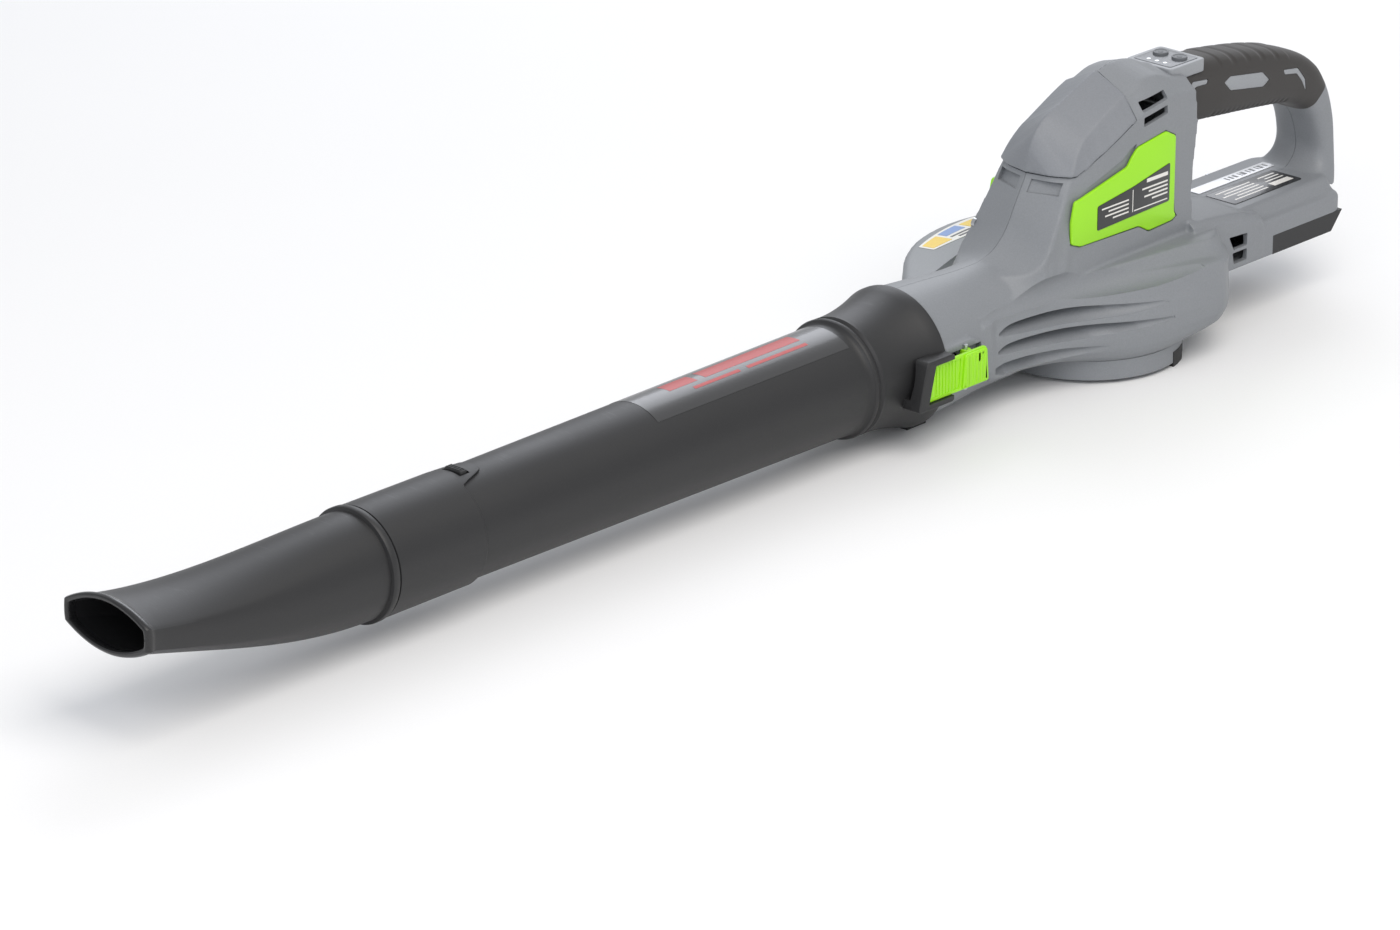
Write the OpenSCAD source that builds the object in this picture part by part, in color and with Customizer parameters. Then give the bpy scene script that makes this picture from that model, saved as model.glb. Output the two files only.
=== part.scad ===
// Cordless leaf blower with a bottom intake, a vertical motor and a straight two-piece air tube.
// Origin: the fan's axis on the resting plane. +X towards the nozzle, +Y to the left, +Z up.

/* [Air tube] */
// Height of the air tube's axis above the resting plane
axis_h = 42.5; // [41:0.5:46]
// Distance from the fan's axis to the rear edge of the tube's collar
outlet_x = 168; // [160:1:200]
// Length of the tube, from the collar's rear edge to its open front end
tube_len = 407; // [200:1:600]
// Outer radius of the tube at its rear end
tube_rear_r = 32; // [31:0.5:33]
// Outer radius of the tube at its front end
tube_front_r = 29; // [27:0.5:31]
// Wall of the tube and of the nozzle
tube_wall = 2; // [1.6:0.1:2.6]
// Outer radius of the collar at its rear edge
collar_r = 41; // [40:0.5:44]
// Length of the flared collar
collar_len = 50; // [44:1:70]

/* [Nozzle] */
// Length of the nozzle, from its rear edge to its mouth
nozzle_len = 237; // [180:1:300]
// Length of the sleeve that slides over the tube
sleeve_len = 69; // [60:1:90]
// Length of the sleeve that holds the tube
sleeve_overlap = 55; // [40:1:58]
// Height that the mouth's middle is raised above the tube's axis
mouth_rise = 19.5; // [0:0.5:30]
// Half of the mouth's width, outside
mouth_half_w = 30.3; // [26:0.1:36]
// Half of the mouth's height at its middle, outside
mouth_half_h = 14.7; // [12:0.1:18]
// Half of the mouth's height at its two end walls, outside
mouth_end_h = 5.7; // [4:0.1:8]

/* [Housing] */
// Wall of the moulded housing
wall = 2.5; // [2:0.1:3.5]
// Half of the tower's width
tower_half_w = 30.5; // [29:0.5:36]
// Height of the tower's crown
tower_top = 171; // [168:1:190]
// Half of the rear base's width
base_half_w = 38; // [36:0.5:42]
// Height of the rear base's underside
base_z = 35; // [34:0.5:38]
// Distance from the fan's axis to the rear face of the base
base_rear = 196; // [190:1:220]
// Half of the handle's width
grip_half_w = 17.5; // [15:0.5:20]
// Thickness of the rubber over the handle's core
grip_t = 2.5; // [1.5:0.1:3]
// Thickness of the lime side badges
badge_t = 2.2; // [1.6:0.1:3]

/* [Fan] */
// Radius of the fan wheel
fan_r = 55; // [45:1:58]
// Height of the fan wheel
fan_h = 17; // [12:0.5:18]
// Number of fan blades
blade_count = 11; // [7:1:15]
// Radius of the intake's eye
eye_r = 36; // [30:0.5:40]
// Radius of the motor's can
motor_r = 21; // [17.5:0.5:22]
// Length of the motor's can
motor_len = 62; // [50:1:66]
// Radius of the motor's shaft
shaft_r = 2.5; // [2:0.1:3]

/* [Controls] */
// Radius of the round buttons
button_r = 4.6; // [4:0.1:5.5]
// Travel of the round buttons
button_travel = 1.2; // [0.8:0.1:1.4]
// Clearance around anything that moves
gap = 0.3; // [0.25:0.05:0.4]
// Radial clearance of a pin or a shaft in its bore
run_fit = 0.05; // [0.02:0.01:0.1]

/* [Hidden] */
$fn = 72;
eps = 0.01;
big = 400;

// Levels of the volute and of what it holds
seat_z = 14;
roof_z = 57;
bowl_r = 57;
foot_h = 2.5;
floor_t = 2.5;
floor_z = 28;
fan_z = floor_z + floor_t + 2;
plate_z = fan_z + fan_h + 2;
plate_t = roof_z - wall - plate_z;
motor_z = plate_z + plate_t;
end_cap_t = 6;
shaft_low = floor_z + 2;
shaft_top = motor_z + motor_len + end_cap_t + 2;

// Intake grille
grille_r = 48;
bar_t = 1.8;

// Motor and fan wheel
bearing_r = 8;
bearing_h = 5;
can_t = 1.5;
commutator_r = 8;
ring_t = 2;
// Room behind a brush for its spring
brush_seat = 3.2;
brush_len = motor_r - can_t - ring_t - brush_seat - commutator_r - gap;
hub_r = 9;
hub_h = fan_h - 5;
shroud_t = 1.6;
blade_steps = 6;
blade_t = 1.6;

// Air tube stations
spigot_r = tube_rear_r + 1;
spigot_len = 42;
duct_r = 29;
collar_front = outlet_x + collar_len;
tube_end = outlet_x + tube_len;
nozzle_rear = tube_end - sleeve_overlap;
sleeve_front = nozzle_rear + sleeve_len;
mouth_x = nozzle_rear + nozzle_len;
bead_r = tube_rear_r + 2.6;
nozzle_r = tube_front_r + tube_wall + 0.2;
lug_x = nozzle_rear - 10;

// Volute: the outline's radius at each 45 degrees, widest level and top crease
RIM_R = [95, 66, 62, 82, 86, 92, 99, 105];
CREASE_R = [90, 52, 54, 81, 85, 91, 98, 104];
// Level, share of the way from the bowl's circle to the rim, and share of the way to the crease
VOLUTE_LEVELS = [[seat_z, 0, 0], [19, 0.62, 0], [27, 0.94, 0], [36, 1, 0], [48, 1, 0.25], [roof_z, 1, 1]];
crown_z = 64;
crown_share = 0.55;

// Neck: distance ahead of the fan's axis, half width, half height, and height below the tube's axis
NECK = [
    [10, 50, 30, -1.5], [36, 43, 33, -1.5], [62, 36, 35, -1], [outlet_x - 76, 32, 36, -0.5],
    [outlet_x - 52, 32, 36.5, 0], [outlet_x - 28, 35.5, 38, 0], [outlet_x, collar_r - 1.5, collar_r - 1.5, 0]
];

// Side outline of the tower, without the hood's own step
TOWER = [
    [-57, 40], [-57, 93], [-60, 122], [-62, 128], [-62, 160], [-50, tower_top - 9], [-40, tower_top - 4],
    [-19, tower_top], [2, tower_top - 4], [25, tower_top - 14], [40, tower_top - 20],
    [50, tower_top - 31], [54.5, tower_top - 43], [55, tower_top - 49], [60, 114], [66, 103],
    [73, 93], [79, 84], [86, 76], [86, 40]
];
// Front outline of the tower's left half
TOWER_FRONT = [
    [0, 40], [tower_half_w, 40], [tower_half_w, 132], [tower_half_w - 3, 150],
    [tower_half_w - 6, tower_top - 8], [tower_half_w - 14, tower_top - 2], [0, tower_top]
];
// Side outline of the space that the hood takes
HOOD_ZONE = [[90, tower_top - 49], [43, tower_top - 49], [-6, tower_top - 26], [-6, big], [90, big]];
hood_gap = 1.2;

// Handle: top point, bottom point and half width of each station, from the tower to the base
GRIP = [
    [[-62, 160], [-62, 122.5], 17], [[-86, 158.5], [-85, 120.5], 17], [[-109, 156], [-106, 118.5], 17.5],
    [[-147, 150], [-141, 115], 17.5], [[-178, 141.5], [-165, 112], 17.5],
    [[-194.4, 131.6], [-176.6, 108.3], 17.6],
    [[-203, 120], [-184, 104], 17.5]
];
POST = [
    [[-203, 120], [-184, 104], 17.5], [[-208, 109], [-189, 97], 17.5], [[-211, 95], [-193, 87], 18],
    [[-212, 80], [-194.5, 78], 18.5], [[-212, 66], [-191, 69], 19.5], [[-211, 54], [-180, 60], 21]
];

// Base: cross-section of its left half, and where it starts
deck_z = 65;
ledge_z = 57;
base_front = 100;
BASE_HALF = [
    [0, base_z], [base_half_w, base_z], [base_half_w, ledge_z - 1], [base_half_w - 1.5, ledge_z],
    [base_half_w - 5, ledge_z + 1], [base_half_w - 10, deck_z - 1], [base_half_w - 12, deck_z], [0, deck_z]
];
STEP_HALF = [
    [0, base_z], [base_half_w, base_z], [base_half_w, ledge_z + 8], [base_half_w - 3, deck_z + 4],
    [0, deck_z + 6]
];
bay_len = 64;
bay_h = 11.5;
bay_front = base_rear - bay_len - 6;
rail_half_w = 27;
lead_r = 1.2;
end_cap_top = motor_z + motor_len + end_cap_t;

// Side badge outline and its label's outline
BADGE = [
    [-32, 132.5], [-40.5, 128], [-40.5, 82], [-42.5, 79], [-39, 77], [-17.5, 76], [-8.5, 81], [43.5, 82],
    [51.5, 85], [52, 98], [49, 110], [44.5, 110.5], [2.5, 119.5], [-1, 124], [-6.5, 129]
];
LABEL = [[29.5, 102.5], [-1.5, 106.5], [-35, 113], [-35, 90], [29.5, 88]];
label_t = 0.4;
badge_sink = 1.2;
badge_face = tower_half_w - badge_sink + badge_t;

// Control panel
panel_x = -68;
panel_len = 26;
panel_half_w = 14;
panel_z = 161.5;
panel_t = 2.5;
button_x = -72;
button_y = 7;
led_x = -60;
led_pitch = 6;
led_r = 1.3;
cap_proud = 1.5;
flange_t = 1;
free_play = 0.1;
frame_t = 3;
frame_z = panel_z - 8;
board_t = 1.6;
board_z = frame_z + 0.4;
flange_z = panel_z - panel_t - free_play - flange_t;
switch_h = flange_z - button_travel - free_play - board_z - board_t;
coil_t = 0.3;

// Latches
latch_x = 152;
latch_y = 39;
latch_low = 31;
latch_high = 52;
latch_front = outlet_x + 21;
latch_rear = 138;
latch_t = 2.5;
latch_face = 42;
barrel_r = 3;
pin_r = 1.5;
boss_face = 46;
cheek_t = 3.5;
pin_len = latch_high - latch_low + 2 * (gap + cheek_t) - 2;

// Screws: places along X and Z with half of the width there
SCREWS = [
    [-203, 88, 17.5], [-150, 60, 33], [-50, 68, tower_half_w], [-50, 140, tower_half_w - 1.5],
    [66, 88, tower_half_w]
];
screw_r = 1.5;
screw_head_r = 3;
boss_r = 4.6;
head_sink = 1.5;

// ---------- helpers ----------

// A closed solid through rings that all have the same number of points
module loft(rings) {
    n = len(rings[0]);
    m = len(rings);
    points = [for (ring = rings, p = ring) p];
    skin = [for (i = [0 : m - 2], j = [0 : n - 1], side = [0, 1])
        let (a = i * n + j, b = i * n + (j + 1) % n)
        side == 0 ? [a, b + n, b] : [a, a + n, b + n]];
    start = [for (j = [0 : n - 1]) j];
    finish = [for (j = [n - 1 : -1 : 0]) (m - 1) * n + j];
    polyhedron(points, concat([start, finish], skin), convexity = 8);
}

// A plate with an outline in X and Z, from y0 towards +Y
module side_plate(outline, y0, t)
    translate([0, y0 + t, 0]) rotate([90, 0, 0]) linear_extrude(t) polygon(outline);

// A bar with an outline in Y and Z, from x0 towards +X
module cross_bar(outline, x0, len_x)
    translate([x0, 0, 0]) rotate([90, 0, 90]) linear_extrude(len_x) polygon(outline);

// Places children drawn along +Z so that they run along +X on the tube's axis
module on_axis(x0) translate([x0, 0, axis_h]) rotate([0, 90, 0]) children();

// A ring of rectangle section around +Z
module washer(outer_r, inner_r, h) difference() {
    cylinder(r = outer_r, h = h);
    translate([0, 0, -1]) cylinder(r = inner_r, h = h + 2);
}

// Keeps one side of the seam: 1 for the left half, -1 for the right half
module half(side) intersection() {
    children();
    translate([-big, side > 0 ? 0 : -big, -big]) cube([3 * big, big, 2 * big]);
}

// Both halves of an outline given for its left half only
function mirrored(outline) = concat(outline, [for (i = [len(outline) - 1 : -1 : 0]) if (outline[i][0] > eps)
    [-outline[i][0], outline[i][1]]]);

// A smooth value between the entries of a table spaced 45 degrees apart
function around(table, a) = let (
    k = a / 45, i = floor(k), u = (1 - cos(180 * (k - i))) / 2, n = len(table)
) table[i % n] * (1 - u) + table[(i + 1) % n] * u;

// One level of the volute; inset moves the outline inwards
function volute_ring(z, rim, crease, inset) = [for (i = [0 : 35]) let (
    a = i * 10,
    wide = around(RIM_R, a) * (1 - crease) + around(CREASE_R, a) * crease,
    r = bowl_r + (wide - bowl_r) * rim - inset
) [r * cos(a), r * sin(a), z]];

module volute(inset) {
    crown = [for (p = volute_ring(crown_z - inset, 1, 1, inset))
        [p[0] * crown_share, p[1] * crown_share, p[2]]];
    loft(concat(
        [for (level = VOLUTE_LEVELS)
            volute_ring(level[0] == seat_z || level[0] == roof_z ? level[0] - inset : level[0],
                level[1], level[2], inset)],
        [crown]
    ));
}

// A rounded section of the handle from its top and bottom points
function grip_ring(s, inset) = let (
    d = (s[1] - s[0]) / norm(s[1] - s[0]),
    top = s[0] + d * inset, bottom = s[1] - d * inset, w = s[2] - inset,
    c = (top + bottom) / 2, h = (top - bottom) / 2
) [for (i = [0 : 15]) let (
    a = (i + 0.5) * 22.5,
    u = sign(cos(a)) * pow(abs(cos(a)), 0.62) / 0.97, v = sign(sin(a)) * pow(abs(sin(a)), 0.62) / 0.988
) [c[0] + h[0] * v, -w * u, c[1] + h[1] * v]];

// A station part of the way from one to the next
function between(s, t, k) = [s[0] * (1 - k) + t[0] * k, s[1] * (1 - k) + t[1] * k, s[2] * (1 - k) + t[2] * k];

// Stations of the hollows; a solid web stays where the handle's core meets the rear post
web_share = 0.4;
grip_last = len(GRIP) - 1;
grip_hollow = concat([for (i = [0 : grip_last - 1]) GRIP[i]],
    [between(GRIP[grip_last], GRIP[grip_last - 1], web_share)]);
// The core runs on a little way inside the post
grip_core = concat(GRIP, [between(POST[0], POST[1], web_share / 2)]);
post_hollow = concat([between(POST[0], POST[1], web_share)], [for (i = [1 : len(POST) - 1]) POST[i]]);

module bar(stations, inset) loft([for (s = stations) grip_ring(s, inset)]);

// An oval section across the neck
function neck_ring(s, inset) = [for (i = [0 : 31]) let (a = i * 11.25)
    [s[0], (s[1] - inset) * cos(a), axis_h - s[3] + (s[2] - inset) * sin(a)]];

// The neck; an inner one stops short of the front by its inset
module neck(inset) loft([for (s = NECK)
    neck_ring([s[0] == outlet_x ? s[0] - inset : s[0], s[1], s[2], s[3]], inset)]);

// The tower's outer or inner block
module tower(inset) intersection() {
    translate([0, -big / 2, 0]) side_profile(TOWER, inset, big);
    rotate([90, 0, 90]) translate([0, 0, -big / 2]) linear_extrude(big)
        offset(delta = -inset) polygon(mirrored(TOWER_FRONT));
}

module side_profile(outline, inset, width)
    translate([0, width, 0]) rotate([90, 0, 0]) linear_extrude(width) offset(delta = -inset) polygon(outline);

// Everything that the shells enclose, before they are hollowed
module body_outer() {
    volute(0);
    neck(0);
    tower(0);
    bar(grip_core, grip_t);
    bar(POST, 0);
    cross_bar(mirrored(BASE_HALF), -base_rear, base_rear - base_front + 30);
    cross_bar(mirrored(STEP_HALF), -base_front - 4, base_front - 50);
    on_axis(outlet_x - wall) cylinder(r = spigot_r, h = spigot_len + wall);
    for (side = [-1, 1]) latch_block(side);
}

module body_inner() {
    volute(wall);
    neck(wall);
    tower(wall);
    bar(grip_hollow, grip_t + wall);
    bar(post_hollow, wall);
    translate([-base_rear + wall, 0, 0]) rotate([90, 0, 90]) linear_extrude(base_rear - base_front + 40)
        offset(delta = -wall) polygon(mirrored(BASE_HALF));
    translate([-base_front - 4 + wall, 0, 0]) rotate([90, 0, 90]) linear_extrude(base_front - 46)
        offset(delta = -wall) polygon(mirrored(STEP_HALF));
    on_axis(outlet_x - 3 * wall) cylinder(r = duct_r, h = spigot_len + 4 * wall);
}

// Raised cheeks and floor that carry a latch's pin
module latch_block(side)
    translate([latch_rear - 5, side > 0 ? 32 : -32 - (latch_face - 33), latch_low - gap - cheek_t])
    cube([outlet_x - latch_rear + 4, latch_face - 33, latch_high - latch_low + 2 * (gap + cheek_t)]);

// The space that a latch swings in, and its pin's holes
module latch_pocket(side) {
    translate([latch_rear - 1.5, side > 0 ? latch_y - barrel_r - 1 : -latch_y + barrel_r + 1 - 20,
        latch_low - gap])
        cube([outlet_x - latch_rear + 3, 20, latch_high - latch_low + 2 * gap]);
    translate([latch_x, side * latch_y, latch_low - gap - cheek_t + 1]) cylinder(r = pin_r, h = pin_len);
}

module panel_pocket(extra)
    translate([panel_x - panel_len / 2 - 3 - extra, -panel_half_w - 3 - extra, frame_z])
    cube([panel_len + 6 + 2 * extra, 2 * (panel_half_w + 3 + extra), 30]);

// Bosses that the case screws run through
module screw_bosses() for (s = SCREWS)
    translate([s[0], s[2] - wall, s[1]]) rotate([90, 0, 0]) cylinder(r = boss_r, h = 2 * (s[2] - wall));

module screw_holes() for (s = SCREWS) {
    translate([s[0], s[2] - 2 * wall, s[1]]) rotate([90, 0, 0]) cylinder(r = screw_r, h = 2 * s[2]);
    translate([s[0], -s[2] + head_sink + 2.5, s[1]]) rotate([90, 0, 0]) cylinder(r = screw_head_r, h = 20);
}

// One side's badge outline as a solid, sunk into the tower's side
module badge_blank(side, t, extra) side_plate(
    BADGE,
    side > 0 ? tower_half_w - badge_sink : -tower_half_w + badge_sink - t - extra,
    t + extra
);

module vents(side) {
    for (dz = [0, 8.5]) side_plate(
        [[-12, 153.5 - dz], [-34, 156 - dz], [-34, 151 - dz], [-12, 148 - dz]], side > 0 ? 20 : -40, 20);
    side_plate([[-84, 56], [-101, 55], [-101, 47.5], [-89, 47]], side > 0 ? 30 : -50, 20);
    side_plate([[-88, 45.5], [-101, 45.5], [-101, 38.5], [-89.5, 38.5]], side > 0 ? 30 : -50, 20);
}

module housing(side) half(side) difference() {
    union() {
        difference() {
            body_outer();
            body_inner();
        }
        intersection() {
            screw_bosses();
            tower_and_base();
        }
    }
    screw_holes();
    side_plate(HOOD_ZONE, -big / 2, big);
    for (s = [-1, 1]) latch_pocket(s);
    badge_blank(side, 20, 0);
    vents(side);
    panel_pocket(0);
    translate([-base_rear - 1, -big / 2, base_z - 1]) cube([base_rear - bay_front + 1, big, bay_h + 1]);
}

module tower_and_base() {
    tower(0);
    bar(POST, 0);
    cross_bar(mirrored(BASE_HALF), -base_rear, base_rear - base_front + 30);
}

module housing_left() color([0.46, 0.47, 0.49]) housing(1);
module housing_right() color([0.46, 0.47, 0.49]) housing(-1);

module motor_hood() color([0.42, 0.43, 0.45]) intersection() {
    difference() {
        tower(0);
        tower(wall);
    }
    translate([0, big / 2, 0]) rotate([90, 0, 0]) linear_extrude(big)
        offset(delta = -hood_gap) polygon(HOOD_ZONE);
}

module badge(side) color([0.62, 0.85, 0.08]) badge_blank(side, badge_t, 0);
module badge_left() badge(1);
module badge_right() badge(-1);

module rating_label(side) color([0.05, 0.05, 0.06])
    side_plate(LABEL, side > 0 ? badge_face : -badge_face - label_t, label_t);
module rating_label_left() rating_label(1);
module rating_label_right() rating_label(-1);

// ---------- air tube and nozzle ----------

module air_tube() color([0.06, 0.06, 0.065]) difference() {
    union() {
        on_axis(0) rotate_extrude() polygon([
            [spigot_r + run_fit, collar_front - 16], [spigot_r + run_fit, collar_front - 6],
            [tube_rear_r - tube_wall, collar_front - 3], [tube_front_r - tube_wall, tube_end],
            [tube_front_r, tube_end], [tube_rear_r, collar_front + 6], [tube_rear_r, collar_front + 4],
            [bead_r, collar_front + 3], [bead_r, collar_front], [bead_r - 0.8, collar_front - 1.5],
            [bead_r - 0.8, collar_front - 3], [bead_r + 0.6, collar_front - 4], [collar_r, outlet_x + 4],
            [collar_r, outlet_x + gap], [collar_r - tube_wall, outlet_x + gap],
            [collar_r - tube_wall, outlet_x + 6]
        ]);
        for (side = [-1, 1]) latch_boss(side);
        snap_lug();
    }
    for (side = [-1, 1]) hook_pocket(side);
}

// Boss on the collar that a latch hooks into
module latch_boss(side) difference() {
    translate([outlet_x + gap, side > 0 ? 33 : -boss_face, latch_low - gap - cheek_t])
        cube([latch_front - outlet_x + 8, boss_face - 33, latch_high - latch_low + 2 * (gap + cheek_t)]);
    on_axis(outlet_x - 1) cylinder(r = collar_r - tube_wall, h = 30);
    on_axis(outlet_x + 20) cylinder(r = spigot_r + 2, h = 30);
}

module hook_pocket(side) {
    translate([outlet_x - 5, side > 0 ? latch_face - 0.5 : -latch_face + 0.5 - 20, latch_low - gap])
        cube([latch_front + gap - outlet_x + 5, 20, latch_high - latch_low + 2 * gap]);
    translate([latch_front - 5 - 2 * gap, side > 0 ? latch_y : -latch_y - 20, latch_low - gap])
        cube([5 + 3 * gap, 20, latch_high - latch_low + 2 * gap]);
}

// The flattened mouth: a lens with slightly bulged upright walls at its two ends
wall_share = 0.8;
end_bulge = 0.5;
function mouth_point(a, inset) = let (
    w = mouth_half_w - inset, e = mouth_end_h - inset * 0.6, b = mouth_half_h - mouth_end_h - inset * 0.4,
    c = cos(a) / wall_share, s = sin(a) / sqrt(1 - wall_share * wall_share)
) abs(c) < 1
    ? [(w - end_bulge) * c, sign(sin(a)) * (e + b * (1 - c * c))]
    : [sign(c) * (w - end_bulge * s * s), e * s];

function nozzle_ring(x, r, inset) = let (
    t = max(0, min(1, (x - sleeve_front) / (mouth_x - sleeve_front))), k = t * t * (3 - 2 * t),
    rise = mouth_rise * t * t
) [for (i = [0 : 31]) let (a = i * 11.25 + 5.625, m = mouth_point(a, inset))
    [x, (r - inset) * cos(a) * (1 - k) + m[0] * k,
        axis_h + rise + (r - inset) * sin(a) * (1 - k) + m[1] * k]];

// Small step where the sleeve's round bore meets the flattening one
bore_step = 0.3;

function nozzle_xs() = [for (i = [0 : 9]) sleeve_front + (mouth_x - sleeve_front) * i / 9];

module nozzle() color([0.06, 0.06, 0.065]) difference() {
    union() {
        loft([for (x = nozzle_xs()) nozzle_ring(x, nozzle_r - 1.5, 0)]);
        on_axis(nozzle_rear) cylinder(r = nozzle_r, h = sleeve_len);
        on_axis(sleeve_front - 4) cylinder(r = nozzle_r + 0.6, h = 3);
        snap_tongue();
    }
    loft([for (i = [0 : 9]) nozzle_ring(
        nozzle_xs()[i] + (i == 0 ? -1 : i == 9 ? 1 : 0), nozzle_r - 1.5 - bore_step, tube_wall
    )]);
    on_axis(nozzle_rear - 30)
        cylinder(r1 = sleeve_bore(nozzle_rear - 30), r2 = sleeve_bore(tube_end), h = sleeve_overlap + 30);
    on_axis(tube_end - eps) cylinder(r = nozzle_r - 1.5 - tube_wall, h = sleeve_front - tube_end + eps);
    translate([lug_x - 1, -7, axis_h + tube_front_r]) cube([8, 14, 10]);
}
function sleeve_bore(x) = tube_front_r + run_fit + (tube_rear_r - tube_front_r)
    * (tube_end - x) / (tube_end - collar_front - 6);

module snap_tongue() {
    translate([nozzle_rear - 10, -10, axis_h + tube_front_r - 1]) cube([14, 20, 4.4]);
    translate([nozzle_rear - 10, 0, axis_h + tube_front_r - 1]) cylinder(r = 10, h = 4.4);
}

// Lug on the tube that the tongue's window snaps over
module snap_lug() translate([lug_x, -6, axis_h + tube_front_r - 1]) cube([5, 12, 4.6]);

module tube_seal() color([0.08, 0.08, 0.08]) on_axis(outlet_x + 12) rotate_extrude()
    translate([spigot_r + 1.5, 0]) circle(r = 1.5, $fn = 24);

module tube_sticker() color([0.12, 0.12, 0.13]) intersection() {
    on_axis(0) rotate_extrude() polygon([
        [tube_rear_r, collar_front + 6], [tube_rear_r + label_t, collar_front + 6],
        [tube_front_r + label_t, tube_end], [tube_front_r, tube_end]
    ]);
    translate([collar_front + 9, -20, axis_h]) cube([152, 40, 60]);
}

// ---------- latches ----------

module latch(side) color([0.62, 0.85, 0.08]) mirror([0, side > 0 ? 0 : 1, 0]) difference() {
    union() {
        translate([latch_rear, latch_face, latch_low])
            cube([latch_front - latch_rear, latch_t, latch_high - latch_low]);
        translate([latch_rear, latch_face, latch_low])
            cube([latch_x + 8 - latch_rear, latch_t + 1, latch_high - latch_low]);
        translate([latch_x, latch_y, latch_low]) cylinder(r = barrel_r, h = latch_high - latch_low);
        translate([latch_x - 2, latch_y, latch_low])
            cube([4, latch_face - latch_y + 1, latch_high - latch_low]);
        translate([latch_front - 4, latch_y + 0.6, latch_low])
            cube([4 - gap, latch_face - latch_y, latch_high - latch_low]);
    }
    translate([latch_x, latch_y, 0]) cylinder(r = pin_r + run_fit, h = 100);
    translate([latch_x - 5, latch_y - 5, axis_h - 5]) cube([10, 5 + latch_face - latch_y - gap, 7]);
}
module latch_left() latch(1);
module latch_right() latch(-1);

module latch_pins() color([0.7, 0.7, 0.72]) for (side = [-1, 1])
    translate([latch_x, side * latch_y, latch_low - gap - cheek_t + 1]) cylinder(r = pin_r, h = pin_len);

module latch_springs() color([0.7, 0.7, 0.72]) for (side = [-1, 1], i = [0 : 4])
    translate([latch_x, side * latch_y, axis_h - 4 + i * 1.1]) rotate_extrude()
        translate([pin_r + 0.7, 0]) circle(r = 0.5, $fn = 16);

// ---------- intake ----------

module intake_bowl() color([0.42, 0.43, 0.45]) difference() {
    union() {
        translate([0, 0, foot_h]) cylinder(r = bowl_r, h = seat_z - foot_h);
        translate([0, 0, foot_h]) cylinder(r = bowl_r - wall - 0.6, h = seat_z);
    }
    translate([0, 0, foot_h + wall]) cylinder(r = bowl_r - 2 * wall, h = 60);
    translate([0, 0, -1]) cylinder(r = grille_r, h = 60);
    translate([0, 0, -1]) cylinder(r = 2 * bowl_r, h = foot_h + 1);
    for (side = [-1, 1]) rear_foot(side);
    neck(0);
}

module intake_grille() color([0.1, 0.1, 0.11]) {
    translate([0, 0, foot_h]) {
        washer(grille_r, grille_r - 3, wall);
        for (r = [36, 27, 18]) washer(r + bar_t / 2, r - bar_t / 2, wall);
        for (i = [0 : 11]) rotate(i * 30) translate([10, -bar_t / 2, 0]) cube([grille_r - 12, bar_t, wall]);
    }
    cylinder(r = 12, h = foot_h + wall - 0.6);
}

module intake_cone() color([0.2, 0.2, 0.21]) difference() {
    union() {
        translate([0, 0, floor_z]) linear_extrude(floor_t)
            polygon([for (p = volute_ring(0, 0.94, 0, wall + 1)) [p[0], p[1]]]);
        translate([0, 0, floor_z - 5]) cylinder(r1 = eye_r + 6, r2 = eye_r + 2.5, h = 5);
    }
    translate([0, 0, floor_z - 6]) cylinder(r1 = eye_r + 5.5, r2 = eye_r, h = 6);
    cylinder(r = eye_r, h = 60);
}

module rear_foot(side) intersection() {
    washer(bowl_r + 0.4, bowl_r - 6, 9);
    translate([-28, side > 0 ? 30 : -70, 0]) cube([15, 40, 9]);
}
module rear_foot_left() color([0.07, 0.07, 0.07]) rear_foot(1);
module rear_foot_right() color([0.07, 0.07, 0.07]) rear_foot(-1);

module front_foot() color([0.07, 0.07, 0.07]) difference() {
    translate([outlet_x - 17, -10, 0]) cube([16, 20, 9]);
    neck(0);
}

module scroll_roof() color([0.2, 0.2, 0.21]) difference() {
    translate([0, 0, plate_z]) linear_extrude(plate_t)
        polygon([for (p = volute_ring(0, 1, 1, wall + 1)) [p[0], p[1]]]);
    cylinder(r = shaft_r + 2, h = big);
    motor_screw_places() cylinder(r = screw_r, h = big);
}
module motor_screw_places() for (a = [45, 225]) rotate(a) translate([12, 0, 0]) children();

// ---------- motor and fan ----------

module motor_can() color([0.75, 0.75, 0.77]) translate([0, 0, motor_z]) difference() {
    cylinder(r = motor_r, h = motor_len);
    translate([0, 0, bearing_h + can_t]) cylinder(r = motor_r - can_t, h = motor_len);
    translate([0, 0, -1]) cylinder(r = bearing_r, h = bearing_h + 1);
    cylinder(r = shaft_r + 2, h = 3 * bearing_h);
    motor_screw_places() translate([0, 0, -1]) cylinder(r = screw_r, h = 6);
}

module motor_magnets() color([0.2, 0.2, 0.22]) translate([0, 0, motor_z + 9]) intersection() {
    washer(motor_r - can_t, motor_r - can_t - 3, motor_len - 22);
    union() {
        translate([-big / 2, -13, 0]) cube([big, 26, big]);
    }
}

module motor_end_cap() color([0.15, 0.15, 0.16]) translate([0, 0, motor_z + motor_len]) difference() {
    union() {
        cylinder(r = motor_r, h = end_cap_t);
        translate([0, 0, -3]) washer(motor_r - can_t, motor_r - can_t - ring_t, 3);
    }
    translate([0, 0, -1]) cylinder(r = bearing_r, h = bearing_h + 1);
    cylinder(r = shaft_r + 1, h = 20);
}

module motor_brushes() color([0.2, 0.2, 0.2]) for (side = [-1, 1])
    translate([side > 0 ? commutator_r + gap : -commutator_r - gap - brush_len, -2, motor_z + motor_len - 8])
        cube([brush_len, 4, 8]);

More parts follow.
